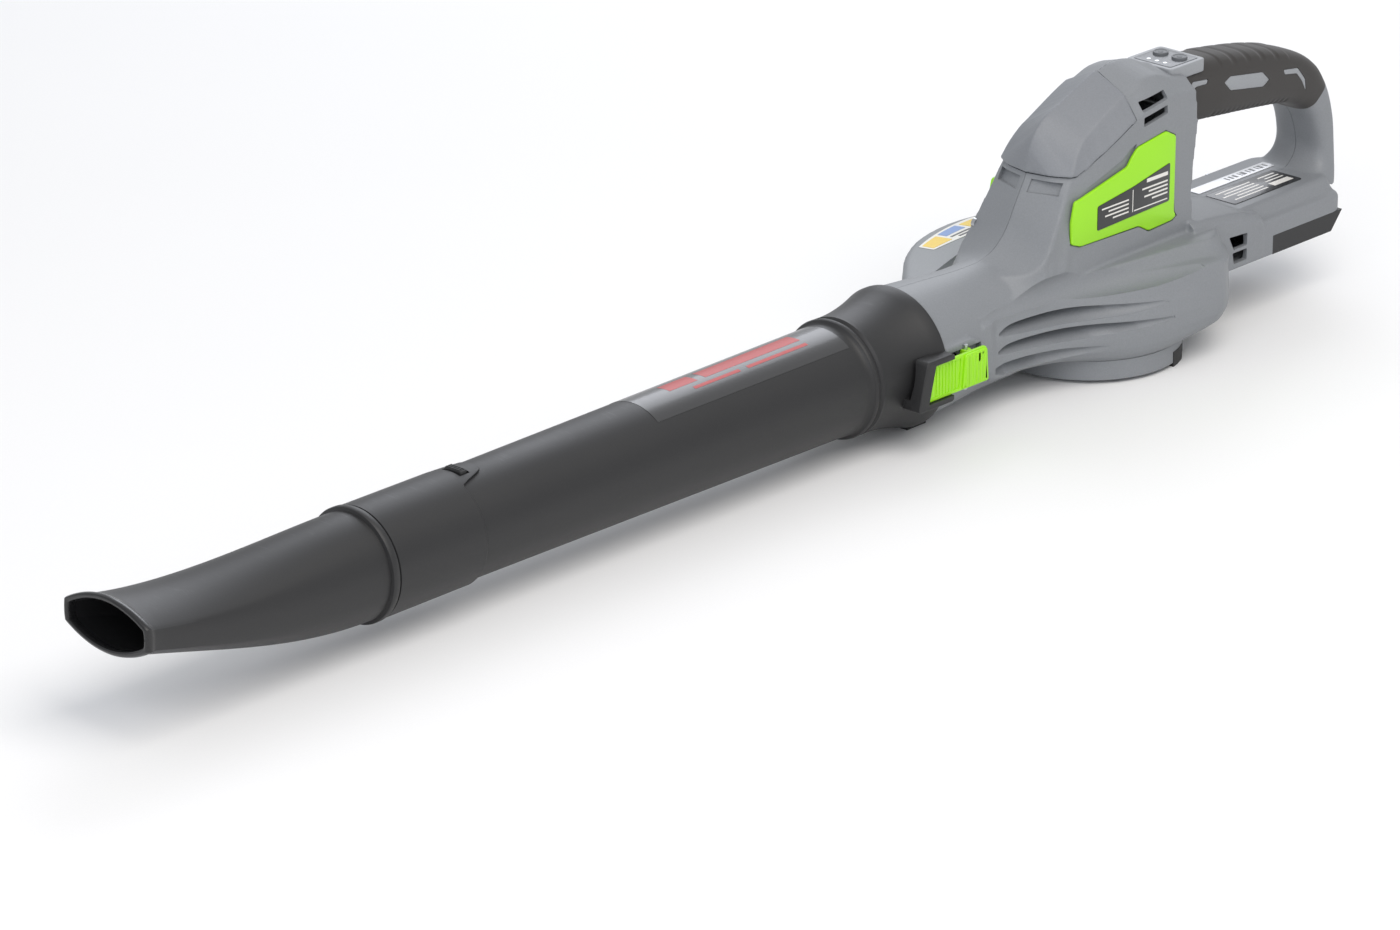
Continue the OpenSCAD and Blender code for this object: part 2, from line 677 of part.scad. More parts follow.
module armature() color([0.72, 0.45, 0.2]) difference() {
    union() {
        translate([0, 0, motor_z + 12]) cylinder(r = motor_r - can_t - 3.5, h = motor_len - 26);
        translate([0, 0, motor_z + motor_len - 14]) cylinder(r = commutator_r, h = 12);
    }
    cylinder(r = shaft_r, h = big);
}

module motor_shaft() color([0.8, 0.8, 0.82])
    translate([0, 0, shaft_low]) cylinder(r = shaft_r, h = shaft_top - shaft_low);

module bearing(z) translate([0, 0, z]) washer(bearing_r, shaft_r + run_fit, bearing_h);
module lower_bearing() color([0.8, 0.8, 0.82]) bearing(motor_z);
module upper_bearing() color([0.8, 0.8, 0.82]) bearing(motor_z + motor_len);

module fan_wheel() color([0.12, 0.12, 0.13]) difference() {
    union() {
        translate([0, 0, fan_z + fan_h - shroud_t]) cylinder(r = fan_r, h = shroud_t);
        translate([0, 0, fan_z + fan_h - hub_h]) cylinder(r = hub_r, h = hub_h);
        translate([0, 0, fan_z]) washer(fan_r, eye_r, shroud_t);
        for (i = [0 : blade_count - 1]) rotate(i * 360 / blade_count) blade();
    }
    cylinder(r = shaft_r, h = big);
}

// A blade that leans back from the way the wheel turns
module blade() translate([0, 0, fan_z + shroud_t / 2]) linear_extrude(fan_h - shroud_t) polygon(concat(
    [for (i = [0 : blade_steps]) blade_point(i / blade_steps, 0)],
    [for (i = [blade_steps : -1 : 0]) blade_point(i / blade_steps, blade_t)]
));
function blade_point(u, t) = let (
    r = eye_r - 12 + (fan_r - 0.5 - eye_r + 12) * u, a = -38 * u * u - 6 * u + t / r * 57.3
) [r * cos(a), r * sin(a)];

module fan_nut() color([0.8, 0.8, 0.82]) difference() {
    translate([0, 0, fan_z + fan_h - hub_h - 3.5]) cylinder(r = 5, h = 3.5, $fn = 6);
    cylinder(r = shaft_r, h = big);
}

module motor_screws() color([0.8, 0.8, 0.82]) motor_screw_places() translate([0, 0, plate_z - 1.6]) {
    cylinder(r = screw_head_r, h = 1.6);
    cylinder(r = screw_r, h = plate_t + 6);
}

// ---------- controls ----------

module panel_frame() color([0.6, 0.61, 0.63]) difference() {
    translate([panel_x - panel_len / 2 - 3, -panel_half_w - 3, frame_z])
        cube([panel_len + 6, 2 * panel_half_w + 6, panel_z - frame_z - 0.3]);
    translate([panel_x - panel_len / 2, -panel_half_w, frame_z - 1]) cube([panel_len, 2 * panel_half_w, 20]);
}

module control_panel() color([0.1, 0.1, 0.11]) difference() {
    translate([panel_x - panel_len / 2, -panel_half_w, panel_z - panel_t])
        cube([panel_len, 2 * panel_half_w, panel_t]);
    for (side = [-1, 1]) translate([button_x, side * button_y, 0]) cylinder(r = button_r + run_fit, h = big);
    for (i = [-1 : 1]) translate([led_x, i * led_pitch, 0]) cylinder(r = led_r, h = big);
}

module led_lenses() color([0.9, 0.92, 0.95]) for (i = [-1 : 1])
    translate([led_x, i * led_pitch, panel_z - panel_t]) cylinder(r = led_r, h = panel_t + 0.3);

module button(side) color([0.18, 0.18, 0.19]) translate([button_x, side * button_y, 0]) {
    translate([0, 0, flange_z]) cylinder(r = button_r + 0.9, h = flange_t);
    translate([0, 0, panel_z - panel_t - 0.2]) cylinder(r = button_r, h = panel_t + 0.2 + cap_proud);
}
module power_button() button(1);
module speed_button() button(-1);

module control_board() color([0.05, 0.3, 0.12]) {
    translate([panel_x - panel_len / 2 + gap, -panel_half_w + gap, board_z])
        cube([panel_len - 2 * gap, 2 * (panel_half_w - gap), board_t]);
    for (side = [-1, 1]) translate([button_x - 2, side * button_y - 2, board_z + board_t - eps])
        cube([4, 4, switch_h + eps]);
}

module button_spring(side) for (i = [0 : 2])
    translate([button_x, side * button_y,
        board_z + board_t + coil_t + i * (flange_z - board_z - board_t - 2 * coil_t) / 2])
        rotate_extrude() translate([button_r - 0.4, 0]) circle(r = coil_t - 0.02, $fn = 16);
module power_spring() color([0.7, 0.7, 0.72]) button_spring(1);
module speed_spring() color([0.7, 0.7, 0.72]) button_spring(-1);

// ---------- grip, base and wiring ----------

HEXAGON = [[-101.5, 142], [-107, 144.5], [-137, 140], [-143.5, 134], [-138, 131], [-107.5, 136]];
CHEVRON_FRONT = [
    [-66, 140], [-68, 144.5], [-73, 149], [-86.5, 147.5], [-85.5, 145], [-76, 145.5], [-70, 143]
];
CHEVRON_REAR = [
    [-157.5, 136.5], [-171, 134.5], [-178, 126], [-179, 119], [-175, 126], [-170, 131.5],
    [-158.5, 133.5]
];
module trims() for (side = [-1, 1], outline = [HEXAGON, CHEVRON_FRONT, CHEVRON_REAR])
    side_plate(outline, side > 0 ? grip_half_w - 2 : -grip_half_w, 2);

module grip_sleeve() color([0.1, 0.09, 0.085]) difference() {
    bar(GRIP, 0);
    bar(GRIP, grip_t);
    trims();
    panel_pocket(0);
}
module grip_trim() color([0.6, 0.61, 0.63]) difference() {
    trims();
    bar(GRIP, grip_t);
}

module battery_rails() color([0.05, 0.05, 0.055]) difference() {
    rotate([90, 0, 0]) translate([0, 0, -base_half_w]) linear_extrude(2 * base_half_w) polygon([
        [-bay_front, base_z], [-base_rear + 14, base_z], [-base_rear + 4, base_z + bay_h],
        [-bay_front, base_z + bay_h]
    ]);
    translate([-base_rear - 1, -rail_half_w, base_z + 3])
        cube([base_rear - bay_front - 3, 2 * rail_half_w, bay_h - 5]);
    translate([-base_rear - 1, -rail_half_w + 4, base_z - 1])
        cube([base_rear - bay_front - 3, 2 * rail_half_w - 8, bay_h - 1]);
    terminal_blank();
}

module terminal_blank() translate([-bay_front - 4, -14, base_z + 3]) cube([8, 28, bay_h - 5]);
module terminal_block() color([0.05, 0.05, 0.055]) difference() {
    terminal_blank();
    terminal_blades();
}

module terminal_blades() color([0.72, 0.55, 0.25]) for (i = [-2 : 2])
    translate([-bay_front - 16, i * 5 - 0.4, base_z + 4]) cube([13, 0.8, 4]);

// A lead along a route that stays in a plane of constant Y
function lead_ring(points, i, r) = let (
    before = points[max(i - 1, 0)], after = points[min(i + 1, len(points) - 1)],
    d = (after - before) / norm(after - before)
) [for (k = [0 : 7]) points[i] + r * cos(k * 45) * [0, 1, 0] + r * sin(k * 45) * [-d[2], 0, d[0]]];

module lead(points, r) loft([for (i = [0 : len(points) - 1]) lead_ring(points, i, r)]);

module power_leads() for (side = [-1, 1]) color(side > 0 ? "firebrick" : "black") lead([
    [-bay_front + 4.05, side * 5, base_z + 6], [-bay_front + 9, side * 5, base_z + 7],
    [-bay_front + 13, side * 5, 56], [-bay_front + 20, side * 5, 58],
    [-42, side * 5, 58], [-37, side * 5, 63], [-34, side * 5, end_cap_top - 10],
    [-28, side * 5, end_cap_top + 2],
    [-14, side * 5, end_cap_top + lead_r + 0.3]
], lead_r);

module deck_label() color([0.2, 0.2, 0.21]) translate([-176, -3, deck_z]) cube([64, 23, label_t]);
module deck_strip() color([0.8, 0.8, 0.81]) translate([-184, -16, deck_z]) cube([72, 9, label_t]);
module top_label() color([0.85, 0.85, 0.82]) intersection() {
    difference() {
        volute(-label_t);
        volute(0);
    }
    translate([-8, -94, roof_z - 1]) cube([64, 26, 20]);
}

module housing_screws() color([0.7, 0.7, 0.72]) for (s = SCREWS)
    translate([s[0], -s[2] + head_sink, s[1]]) rotate([-90, 0, 0]) {
    cylinder(r = screw_head_r, h = 2.5);
    cylinder(r = screw_r, h = 2 * s[2] - head_sink - 2 * wall);
}

housing_left();
housing_right();
motor_hood();
badge_left();
badge_right();
rating_label_left();
rating_label_right();
air_tube();
nozzle();
tube_seal();
tube_sticker();
latch_left();
latch_right();
latch_pins();
latch_springs();
intake_bowl();
intake_grille();
intake_cone();
rear_foot_left();
rear_foot_right();
front_foot();
scroll_roof();
motor_can();
motor_magnets();
motor_end_cap();
motor_brushes();
armature();
motor_shaft();
lower_bearing();
upper_bearing();
fan_wheel();
fan_nut();
motor_screws();
control_panel();
panel_frame();
led_lenses();
power_button();
speed_button();
power_spring();
speed_spring();
control_board();
grip_sleeve();
grip_trim();
battery_rails();
terminal_block();
terminal_blades();
power_leads();
deck_label();
deck_strip();
top_label();
housing_screws();
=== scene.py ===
"""Looks of a cordless leaf blower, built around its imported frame.

The moulded shells, the rubber grip, the tube with its nozzle and the small controls are modelled here in
millimetres and stored in metres. Everything inside the housing stays as the frame has it and is dressed.
"""
import logging
import math
from contextlib import contextmanager
from dataclasses import dataclass
from enum import Enum
from typing import Any, Callable, Iterator, Optional, Sequence

import bpy
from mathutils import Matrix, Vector


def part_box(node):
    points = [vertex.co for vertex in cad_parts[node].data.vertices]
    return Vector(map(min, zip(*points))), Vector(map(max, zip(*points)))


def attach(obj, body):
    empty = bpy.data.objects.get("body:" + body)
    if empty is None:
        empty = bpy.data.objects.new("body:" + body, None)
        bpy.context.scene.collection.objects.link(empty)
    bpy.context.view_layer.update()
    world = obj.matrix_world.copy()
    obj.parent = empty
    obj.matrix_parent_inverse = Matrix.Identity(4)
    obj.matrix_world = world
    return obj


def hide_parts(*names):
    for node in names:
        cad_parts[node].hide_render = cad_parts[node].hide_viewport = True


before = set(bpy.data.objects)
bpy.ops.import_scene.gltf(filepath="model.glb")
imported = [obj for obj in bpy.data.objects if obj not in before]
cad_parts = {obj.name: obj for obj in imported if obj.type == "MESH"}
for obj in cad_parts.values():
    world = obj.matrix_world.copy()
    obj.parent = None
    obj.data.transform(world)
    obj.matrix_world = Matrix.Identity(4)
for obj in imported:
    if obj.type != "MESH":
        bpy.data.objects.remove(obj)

logging.basicConfig(level=logging.INFO, format="%(message)s")
LOG = logging.getLogger("leaf_blower")

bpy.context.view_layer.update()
MM = 0.001
Object = bpy.types.Object
Pair = tuple[float, float]
Point = tuple[float, float, float]
Ring = list[Point]


class Axis(Enum):
    """The direction in which an outline is given its thickness."""

    X = 0
    Y = 1
    Z = 2


class Fuse(Enum):
    """What a boolean does with its tool."""

    ADD = "UNION"
    CUT = "DIFFERENCE"
    KEEP = "INTERSECT"


# ---------- workshop: selecting, shaping and joining ----------


def deselect() -> None:
    """Leaves object mode on and nothing selected."""
    if bpy.context.object and bpy.context.object.mode != "OBJECT":
        bpy.ops.object.mode_set(mode="OBJECT")
    bpy.ops.object.select_all(action="DESELECT")


def take(piece: Object) -> None:
    """Makes one piece the selected and active object."""
    deselect()
    piece.select_set(True)
    bpy.context.view_layer.objects.active = piece


@contextmanager
def editing(piece: Object) -> Iterator[None]:
    """Opens a piece in edit mode with everything selected."""
    take(piece)
    bpy.ops.object.mode_set(mode="EDIT")
    bpy.ops.mesh.select_all(action="SELECT")
    yield
    bpy.ops.object.mode_set(mode="OBJECT")


def modify(piece: Object, kind: str, **settings: Any) -> Object:
    """Adds a modifier and applies it.

    Args:
        piece: The piece to change.
        kind: Blender's name of the modifier.
        settings: The modifier's own values.

    Returns:
        The same piece.
    """
    take(piece)
    modifier = piece.modifiers.new(kind.title(), kind)
    for name, value in settings.items():
        setattr(modifier, name, value)
    bpy.ops.object.modifier_apply(modifier=modifier.name)
    return piece


def loft(name: str, rings: Sequence[Ring], cyclic: bool = False) -> Object:
    """Rolls a grid into a skin through rings of points.

    Args:
        name: The piece's name.
        rings: Rings in millimetres with the same number of points.
        cyclic: Whether the last ring meets the first; otherwise both ends are closed.

    Returns:
        The closed piece.
    """
    loop = [*rings, rings[0]] if cyclic else list(rings)
    rows, columns = len(loop) - 1, len(loop[0])
    deselect()
    bpy.ops.mesh.primitive_grid_add(x_subdivisions=columns, y_subdivisions=rows, size=2.0)
    piece = bpy.context.object
    piece.name = piece.data.name = name
    for vertex in piece.data.vertices:
        column = round((vertex.co.x + 1) / 2 * columns) % columns
        row = round((vertex.co.y + 1) / 2 * rows)
        vertex.co = Vector(loop[row][column]) * MM
    with editing(piece):
        bpy.ops.mesh.remove_doubles(threshold=MM * 0.002)
        if not cyclic:
            bpy.ops.mesh.fill_holes(sides=0)
        bpy.ops.mesh.normals_make_consistent(inside=False)
    return piece


def soft_edges(piece: Object, width: float, segments: int = 3, angle: float = 30) -> Object:
    """Rounds a piece's sharp edges.

    Args:
        piece: The piece to change.
        width: Width of the rounding in millimetres.
        segments: Faces across the rounding.
        angle: Smallest angle, in degrees, that counts as sharp.

    Returns:
        The same piece.
    """
    return modify(piece, "BEVEL", width=width * MM, segments=segments, limit_method="ANGLE",
                  angle_limit=math.radians(angle), use_clamp_overlap=True)


def shade(piece: Object, angle: float = 35) -> Object:
    """Shades a piece smooth up to an angle in degrees."""
    take(piece)
    bpy.ops.object.shade_smooth_by_angle(angle=math.radians(angle))
    return piece


def plate(name: str, outline: Sequence[Pair], start: float, stop: float, axis: Axis = Axis.Y,
          edge: float = 0.0) -> Object:
    """Gives an outline a thickness.

    Args:
        name: The piece's name.
        outline: Corners in the plane across the axis, in millimetres.
        start: Where the thickness starts along the axis.
        stop: Where it ends.
        axis: Direction of the thickness.
        edge: Rounding of the edges, or 0 to leave them sharp.

    Returns:
        The piece.
    """
    def level(height: float) -> Ring:
        """The outline at one height."""
        places = {Axis.X: lambda a, b: (height, a, b), Axis.Y: lambda a, b: (a, height, b),
                  Axis.Z: lambda a, b: (a, b, height)}
        return [places[axis](a, b) for a, b in outline]

    piece = loft(name, [level(start), level(stop)])
    return soft_edges(piece, edge) if edge else piece


def block(name: str, low: Point, high: Point, edge: float = 0.0) -> Object:
    """A cube between two corners in millimetres, with rounded edges if asked for."""
    deselect()
    bpy.ops.mesh.primitive_cube_add(size=1.0, location=[(a + b) / 2 * MM for a, b in zip(low, high)],
                                    scale=[(b - a) * MM for a, b in zip(low, high)])
    piece = bpy.context.object
    piece.name = piece.data.name = name
    bpy.ops.object.transform_apply(location=True, rotation=True, scale=True)
    return soft_edges(piece, edge) if edge else piece


def drum(name: str, centre: Point, radius: float, height: float, axis: Axis = Axis.Z,
         sides: int = 48) -> Object:
    """A cylinder that starts at a centre and runs along an axis, all in millimetres."""
    middle = list(centre)
    middle[axis.value] += height / 2
    turn = {Axis.X: (0, math.pi / 2, 0), Axis.Y: (math.pi / 2, 0, 0), Axis.Z: (0, 0, 0)}[axis]
    deselect()
    bpy.ops.mesh.primitive_cylinder_add(vertices=sides, radius=radius * MM, depth=abs(height) * MM,
                                        location=[c * MM for c in middle], rotation=turn)
    piece = bpy.context.object
    piece.name = piece.data.name = name
    bpy.ops.object.transform_apply(location=True, rotation=True, scale=True)
    return piece


def combine(piece: Object, tool: Object, how: Fuse, keep_tool: bool = False) -> Object:
    """Runs a boolean on two closed pieces.

    Args:
        piece: The piece to change.
        tool: The other piece.
        how: What to do with the tool's volume.
        keep_tool: Whether the tool is needed again.

    Returns:
        The changed piece.
    """
    modify(piece, "BOOLEAN", operation=how.value, object=tool, solver="MANIFOLD")
    if not keep_tool:
        bpy.data.objects.remove(tool)
    if not piece.data.polygons:
        raise ValueError(f"{piece.name} was lost in a boolean")
    return piece


def merge(name: str, pieces: Sequence[Object]) -> Object:
    """Makes several pieces one object."""
    deselect()
    for piece in pieces:
        piece.select_set(True)
    bpy.context.view_layer.objects.active = pieces[0]
    bpy.ops.object.join()
    pieces[0].name = pieces[0].data.name = name
    return pieces[0]


def soften(piece: Object, voxel: float, passes: int) -> Object:
    """Melts overlapping shells into one skin and smooths it.

    Args:
        piece: The shells as one object.
        voxel: Size of the new faces in millimetres.
        passes: Rounds of smoothing.

    Returns:
        The same piece.
    """
    modify(piece, "REMESH", mode="VOXEL", voxel_size=voxel * MM, use_smooth_shade=True)
    return modify(piece, "SMOOTH", factor=0.5, iterations=passes) if passes else piece


def twin(piece: Object, name: str, mirror: bool = False) -> Object:
    """Copies a piece with its own mesh.

    Args:
        piece: The piece to copy.
        name: The copy's name.
        mirror: Whether the copy goes to the other side of the seam.

    Returns:
        The copy.
    """
    take(piece)
    bpy.ops.object.duplicate()
    copy = bpy.context.object
    copy.name = copy.data.name = name
    if mirror:
        for vertex in copy.data.vertices:
            vertex.co.y = -vertex.co.y
        with editing(copy):
            bpy.ops.mesh.flip_normals()
    return copy


def shifted(piece: Object, move: Point) -> Object:
    """Moves a piece's mesh by millimetres."""
    for vertex in piece.data.vertices:
        vertex.co += Vector(move) * MM
    return piece


# ---------- outlines and rings ----------


def spline(rows: Sequence[Sequence[float]], steps: int, closed: bool = False) -> list[tuple[float, ...]]:
    """A smooth curve through rows of numbers.

    Args:
        rows: The values that the curve passes through.
        steps: How many rows to make from each given row.
        closed: Whether the last row leads back to the first.

    Returns:
        The finer rows.
    """
    count = len(rows)
    spans = count if closed else count - 1
    made = []
    for i in range(spans):
        if closed:
            a, b, c, d = (rows[(i + k) % count] for k in (-1, 0, 1, 2))
        else:
            a, b, c, d = (rows[min(max(i + k, 0), count - 1)] for k in (-1, 0, 1, 2))
        for step in range(steps):
            u = step / steps
            made.append(tuple(
                q + 0.5 * u * (r - p + u * (2 * p - 5 * q + 4 * r - s + u * (3 * (q - r) + s - p)))
                for p, q, r, s in zip(a, b, c, d)))
    if not closed:
        made.append(tuple(rows[-1]))
    return made


def circle(radius: float, count: int, start: float = 0.0) -> list[Pair]:
    """Points round a circle, from an angle in degrees."""
    turns = [math.radians(start + 360 * i / count) for i in range(count)]
    return [(radius * math.cos(t), radius * math.sin(t)) for t in turns]


def turned(name: str, profile: Sequence[Pair], axis: Axis, centre: Point = (0, 0, 0), sides: int = 96,
           closed: bool = True) -> Object:
    """Turns a profile round an axis.

    Args:
        name: The piece's name.
        profile: Radius and place along the axis of each profile point, in millimetres.
        axis: The axis to turn round.
        centre: Where the axis passes.
        sides: Points round the axis.
        closed: Whether the profile is a loop with a bore; otherwise it starts and ends on the axis.

    Returns:
        The piece.
    """
    def ring(radius: float, along: float) -> Ring:
        """One profile point carried round the axis."""
        if axis is Axis.X:
            return [(centre[0] + along, centre[1] + a, centre[2] + b) for a, b in circle(radius, sides)]
        return [(centre[0] + a, centre[1] + b, centre[2] + along) for a, b in circle(radius, sides)]

    return loft(name, [ring(r, h) for r, h in profile], cyclic=closed)


def rounded(outline: Sequence[Pair], radius: float, steps: int = 4) -> list[Pair]:
    """Rounds the corners of an outline.

    Args:
        outline: The sharp corners in order.
        radius: Distance from a corner at which its curve starts.
        steps: Points along each corner's curve, less one.

    Returns:
        The outline with curved corners.
    """
    made = []
    count = len(outline)
    for i, corner in enumerate(outline):
        here = Vector(corner)
        sides = [Vector(outline[i - 1]) - here, Vector(outline[(i + 1) % count]) - here]
        reach = [min(radius, side.length * 0.45) for side in sides]
        first, last = (here + side.normalized() * far for side, far in zip(sides, reach))
        for step in range(steps + 1):
            u = step / steps
            made.append(tuple(first * (1 - u) ** 2 + here * 2 * u * (1 - u) + last * u * u))
    return made


def grown(outline: Sequence[Pair], margin: float) -> list[Pair]:
    """Moves each corner of an outline out from its middle so that its sides move by about a margin."""
    made = []
    count = len(outline)
    area = sum(outline[i - 1][0] * outline[i][1] - outline[i][0] * outline[i - 1][1] for i in range(count))
    turn = 1 if area > 0 else -1
    for i in range(count):
        here = Vector(outline[i])
        back = (here - Vector(outline[i - 1])).normalized()
        ahead = (Vector(outline[(i + 1) % count]) - here).normalized()
        normal = Vector((back.y + ahead.y, -back.x - ahead.x)) * turn
        made.append(tuple(here + normal * margin / max(1 + back.dot(ahead), 0.5)))
    return made


# ---------- finishes ----------


def linear(code: str, alpha: float = 1.0) -> tuple[float, float, float, float]:
    """Turns an sRGB hex colour into a linear one."""
    channels = [int(code[i:i + 2], 16) / 255 for i in (1, 3, 5)]
    low, high = 12.92, 2.4
    return (*(c / low if c <= 0.04045 else ((c + 0.055) / 1.055) ** high for c in channels), alpha)


def add_node(tree: bpy.types.NodeTree, kind: str, settings: Optional[dict[str, Any]] = None,
             sockets: Optional[dict[Any, Any]] = None) -> bpy.types.Node:
    """Adds a shader node.

    Args:
        tree: The material's nodes.
        kind: The node's type.
        settings: The node's own properties.
        sockets: Input values, or output sockets to link from.

    Returns:
        The new node.
    """
    node = tree.nodes.new(kind)
    for name, value in (settings or {}).items():
        setattr(node, name, value)
    for name, value in (sockets or {}).items():
        if isinstance(value, bpy.types.NodeSocket):
            tree.links.new(value, node.inputs[name])
        else:
            node.inputs[name].default_value = value
    return node


@dataclass(frozen=True)
class Finish:
    """A surface finish with fine grain, slow unevenness and faint handling marks.

    The grain is the texture of the mould, the print or the machining. The unevenness is how colour and
    gloss drift over a hand's width, and the marks are the short rub lines that handling leaves.
    """

    name: str
    colour: str
    roughness: float
    ior: float = 1.5
    metallic: float = 0.0
    grain_mm: float = 0.8
    grain_depth_mm: float = 0.02
    drift: float = 0.05
    drift_mm: float = 60.0
    marks: float = 0.04
    rub_mm: float = 1.2
    coat: float = 0.0
    sheen: float = 0.0
    brushed: Optional[Axis] = None
    ring_mm: float = 0.0
    glow: float = 0.0

    def material(self) -> bpy.types.Material:
        """Builds the finish as a material, once.

        Returns:
            The material.
        """
        known = bpy.data.materials.get(self.name)
        if known:
            return known
        made = bpy.data.materials.new(self.name)
        made.use_nodes = True
        tree = made.node_tree
        tree.nodes.clear()
        place = add_node(tree, "ShaderNodeTexCoord").outputs["Object"]
        stretch = [1.0, 1.0, 1.0]
        if self.brushed:
            stretch[self.brushed.value] = 0.04
        grain_place = add_node(tree, "ShaderNodeMapping", None, {"Vector": place, "Scale": stretch})
        rub_place = add_node(tree, "ShaderNodeMapping", None,
                             {"Vector": place, "Rotation": (0.4, 0.3, 0.9), "Scale": (1.0, 0.07, 1.0)})
        # Each layer's coordinates, size of a lump in millimetres and number of finer layers on top
        layers = ((grain_place.outputs["Vector"], self.grain_mm, 2.0), (place, self.drift_mm, 3.0),
                  (rub_place.outputs["Vector"], self.rub_mm, 1.0))
        grain, drift, lines = (
            add_node(tree, "ShaderNodeTexNoise", {"noise_dimensions": "3D"},
                     {"Vector": where, "Scale": 1 / (size * MM), "Detail": detail,
                      "Roughness": 0.55}).outputs["Fac"]
            for where, size, detail in layers)
        rub = add_node(tree, "ShaderNodeMapRange", None,
                       {"Value": lines, "From Min": 0.62, "From Max": 0.78})
        base = linear(self.colour)
        darker = tuple(c * (1 - self.drift) for c in base[:3]) + (1.0,)
        lighter = tuple(min(1.0, c * (1 + self.drift) + self.drift * 0.004) for c in base[:3]) + (1.0,)
        tint = add_node(tree, "ShaderNodeMix", {"data_type": "RGBA"},
                        {"Factor": drift, 6: darker, 7: lighter})
        speck = add_node(tree, "ShaderNodeMix", {"data_type": "RGBA", "blend_type": "OVERLAY"}, {
            "Factor": 0.12, 6: tint.outputs[2], 7: grain})
        worn = add_node(tree, "ShaderNodeMath", {"operation": "MULTIPLY_ADD"}, {
            0: rub.outputs["Result"], 1: -self.marks, 2: self.roughness + self.marks / 2})
        gloss = add_node(tree, "ShaderNodeMath", {"operation": "MULTIPLY_ADD", "use_clamp": True}, {
            0: drift, 1: self.drift, 2: worn.outputs[0]})
        height = grain
        if self.ring_mm:
            rings = add_node(tree, "ShaderNodeTexWave", {"wave_type": "RINGS", "rings_direction": "Z"}, {
                "Vector": place, "Scale": 1 / (self.ring_mm * MM * 3.1), "Distortion": 0.0})
            height = add_node(tree, "ShaderNodeMath", {"operation": "ADD"}, {
                0: grain, 1: rings.outputs["Fac"]}).outputs[0]
        bump = add_node(tree, "ShaderNodeBump", None, {
            "Strength": 1.0, "Distance": self.grain_depth_mm * MM, "Height": height})
        shader = add_node(tree, "ShaderNodeBsdfPrincipled", None, {
            "Base Color": speck.outputs[2], "Roughness": gloss.outputs[0], "Metallic": self.metallic,
            "Normal": bump.outputs["Normal"]})
        if not self.metallic:
            shader.inputs["IOR"].default_value = self.ior
        if self.coat:
            shader.inputs["Coat Weight"].default_value = self.coat
            shader.inputs["Coat Roughness"].default_value = 0.12
        if self.sheen:
            shader.inputs["Sheen Weight"].default_value = self.sheen
            shader.inputs["Sheen Roughness"].default_value = 0.5
        if self.glow:
            shader.inputs["Emission Color"].default_value = base
            shader.inputs["Emission Strength"].default_value = self.glow
        add_node(tree, "ShaderNodeOutputMaterial", None, {"Surface": shader.outputs["BSDF"]})
        return made


# Moulded ABS with a fine spark-eroded texture: matt, with soft broad highlights
CASE_GREY = Finish("abs_case_grey", "#7f8286", 0.46, 1.53, grain_mm=0.9, grain_depth_mm=0.035, drift=0.04)
# The same ABS from another mould, a shade darker
HOOD_GREY = Finish("abs_hood_grey", "#7b7e83", 0.44, 1.53, grain_mm=0.9, grain_depth_mm=0.03, drift=0.04)
# Pigmented ABS, satin: keeps its colour and takes a soft highlight along its edges
LIME = Finish("abs_lime", "#97dc10", 0.36, 1.53, grain_mm=0.7, grain_depth_mm=0.012, drift=0.03)
# Polypropylene from a lightly eroded mould: near black with a broad satin sheen along the tube
TUBE_BLACK = Finish("polypropylene_black", "#222223", 0.4, 1.49, grain_mm=1.1, grain_depth_mm=0.03,
                    drift=0.08, marks=0.07)
# The polished rim of the same moulding
LIP_BLACK = Finish("polypropylene_polished", "#1f1f20", 0.22, 1.49, grain_mm=1.5, grain_depth_mm=0.008)
# Thermoplastic rubber: brown-black, dull, with a dusty bloom
RUBBER = Finish("tpe_grip", "#2c2927", 0.66, 1.52, grain_mm=0.6, grain_depth_mm=0.06, drift=0.1, sheen=0.15)
# Solid rubber of seals and feet
SEAL = Finish("nitrile_rubber", "#1b1b1b", 0.6, 1.52, grain_mm=0.8, grain_depth_mm=0.04)
# Glass-filled nylon: dark, dull, faintly streaked by its fibres
NYLON_BLACK = Finish("nylon_black", "#1d1d1e", 0.48, 1.53, grain_mm=0.7, grain_depth_mm=0.04,
                     brushed=Axis.X)
NYLON_DARK = Finish("nylon_dark_grey", "#3a3a3c", 0.5, 1.53, grain_mm=0.7, grain_depth_mm=0.04)
# Light ABS inserts and bezel
TRIM_GREY = Finish("abs_light_grey", "#8f9296", 0.4, 1.53, grain_mm=0.8, grain_depth_mm=0.02)
# Printed polyester film with a smooth face
LABEL_BLACK = Finish("film_black", "#17181a", 0.34, 1.57, grain_mm=2.0, grain_depth_mm=0.006, coat=0.25)
LABEL_WHITE = Finish("film_white", "#dfddd8", 0.36, 1.57, grain_mm=2.0, grain_depth_mm=0.006, coat=0.25)
LABEL_SILVER = Finish("film_silver", "#c9cacc", 0.3, metallic=0.35, grain_mm=1.2, grain_depth_mm=0.01,
                      brushed=Axis.X)
PRINT_YELLOW = Finish("ink_yellow", "#e3c141", 0.4, 1.5, grain_mm=1.5, grain_depth_mm=0.005)
PRINT_BLUE = Finish("ink_blue", "#6f8dc4", 0.4, 1.5, grain_mm=1.5, grain_depth_mm=0.005)
PRINT_RED = Finish("ink_red", "#a83432", 0.38, 1.5, grain_mm=1.5, grain_depth_mm=0.008)
# Clear-coated film on the tube: a shade glossier than the plastic under it
STICKER = Finish("film_clear_black", "#323233", 0.3, 1.52, grain_mm=1.6, grain_depth_mm=0.008, coat=0.3)
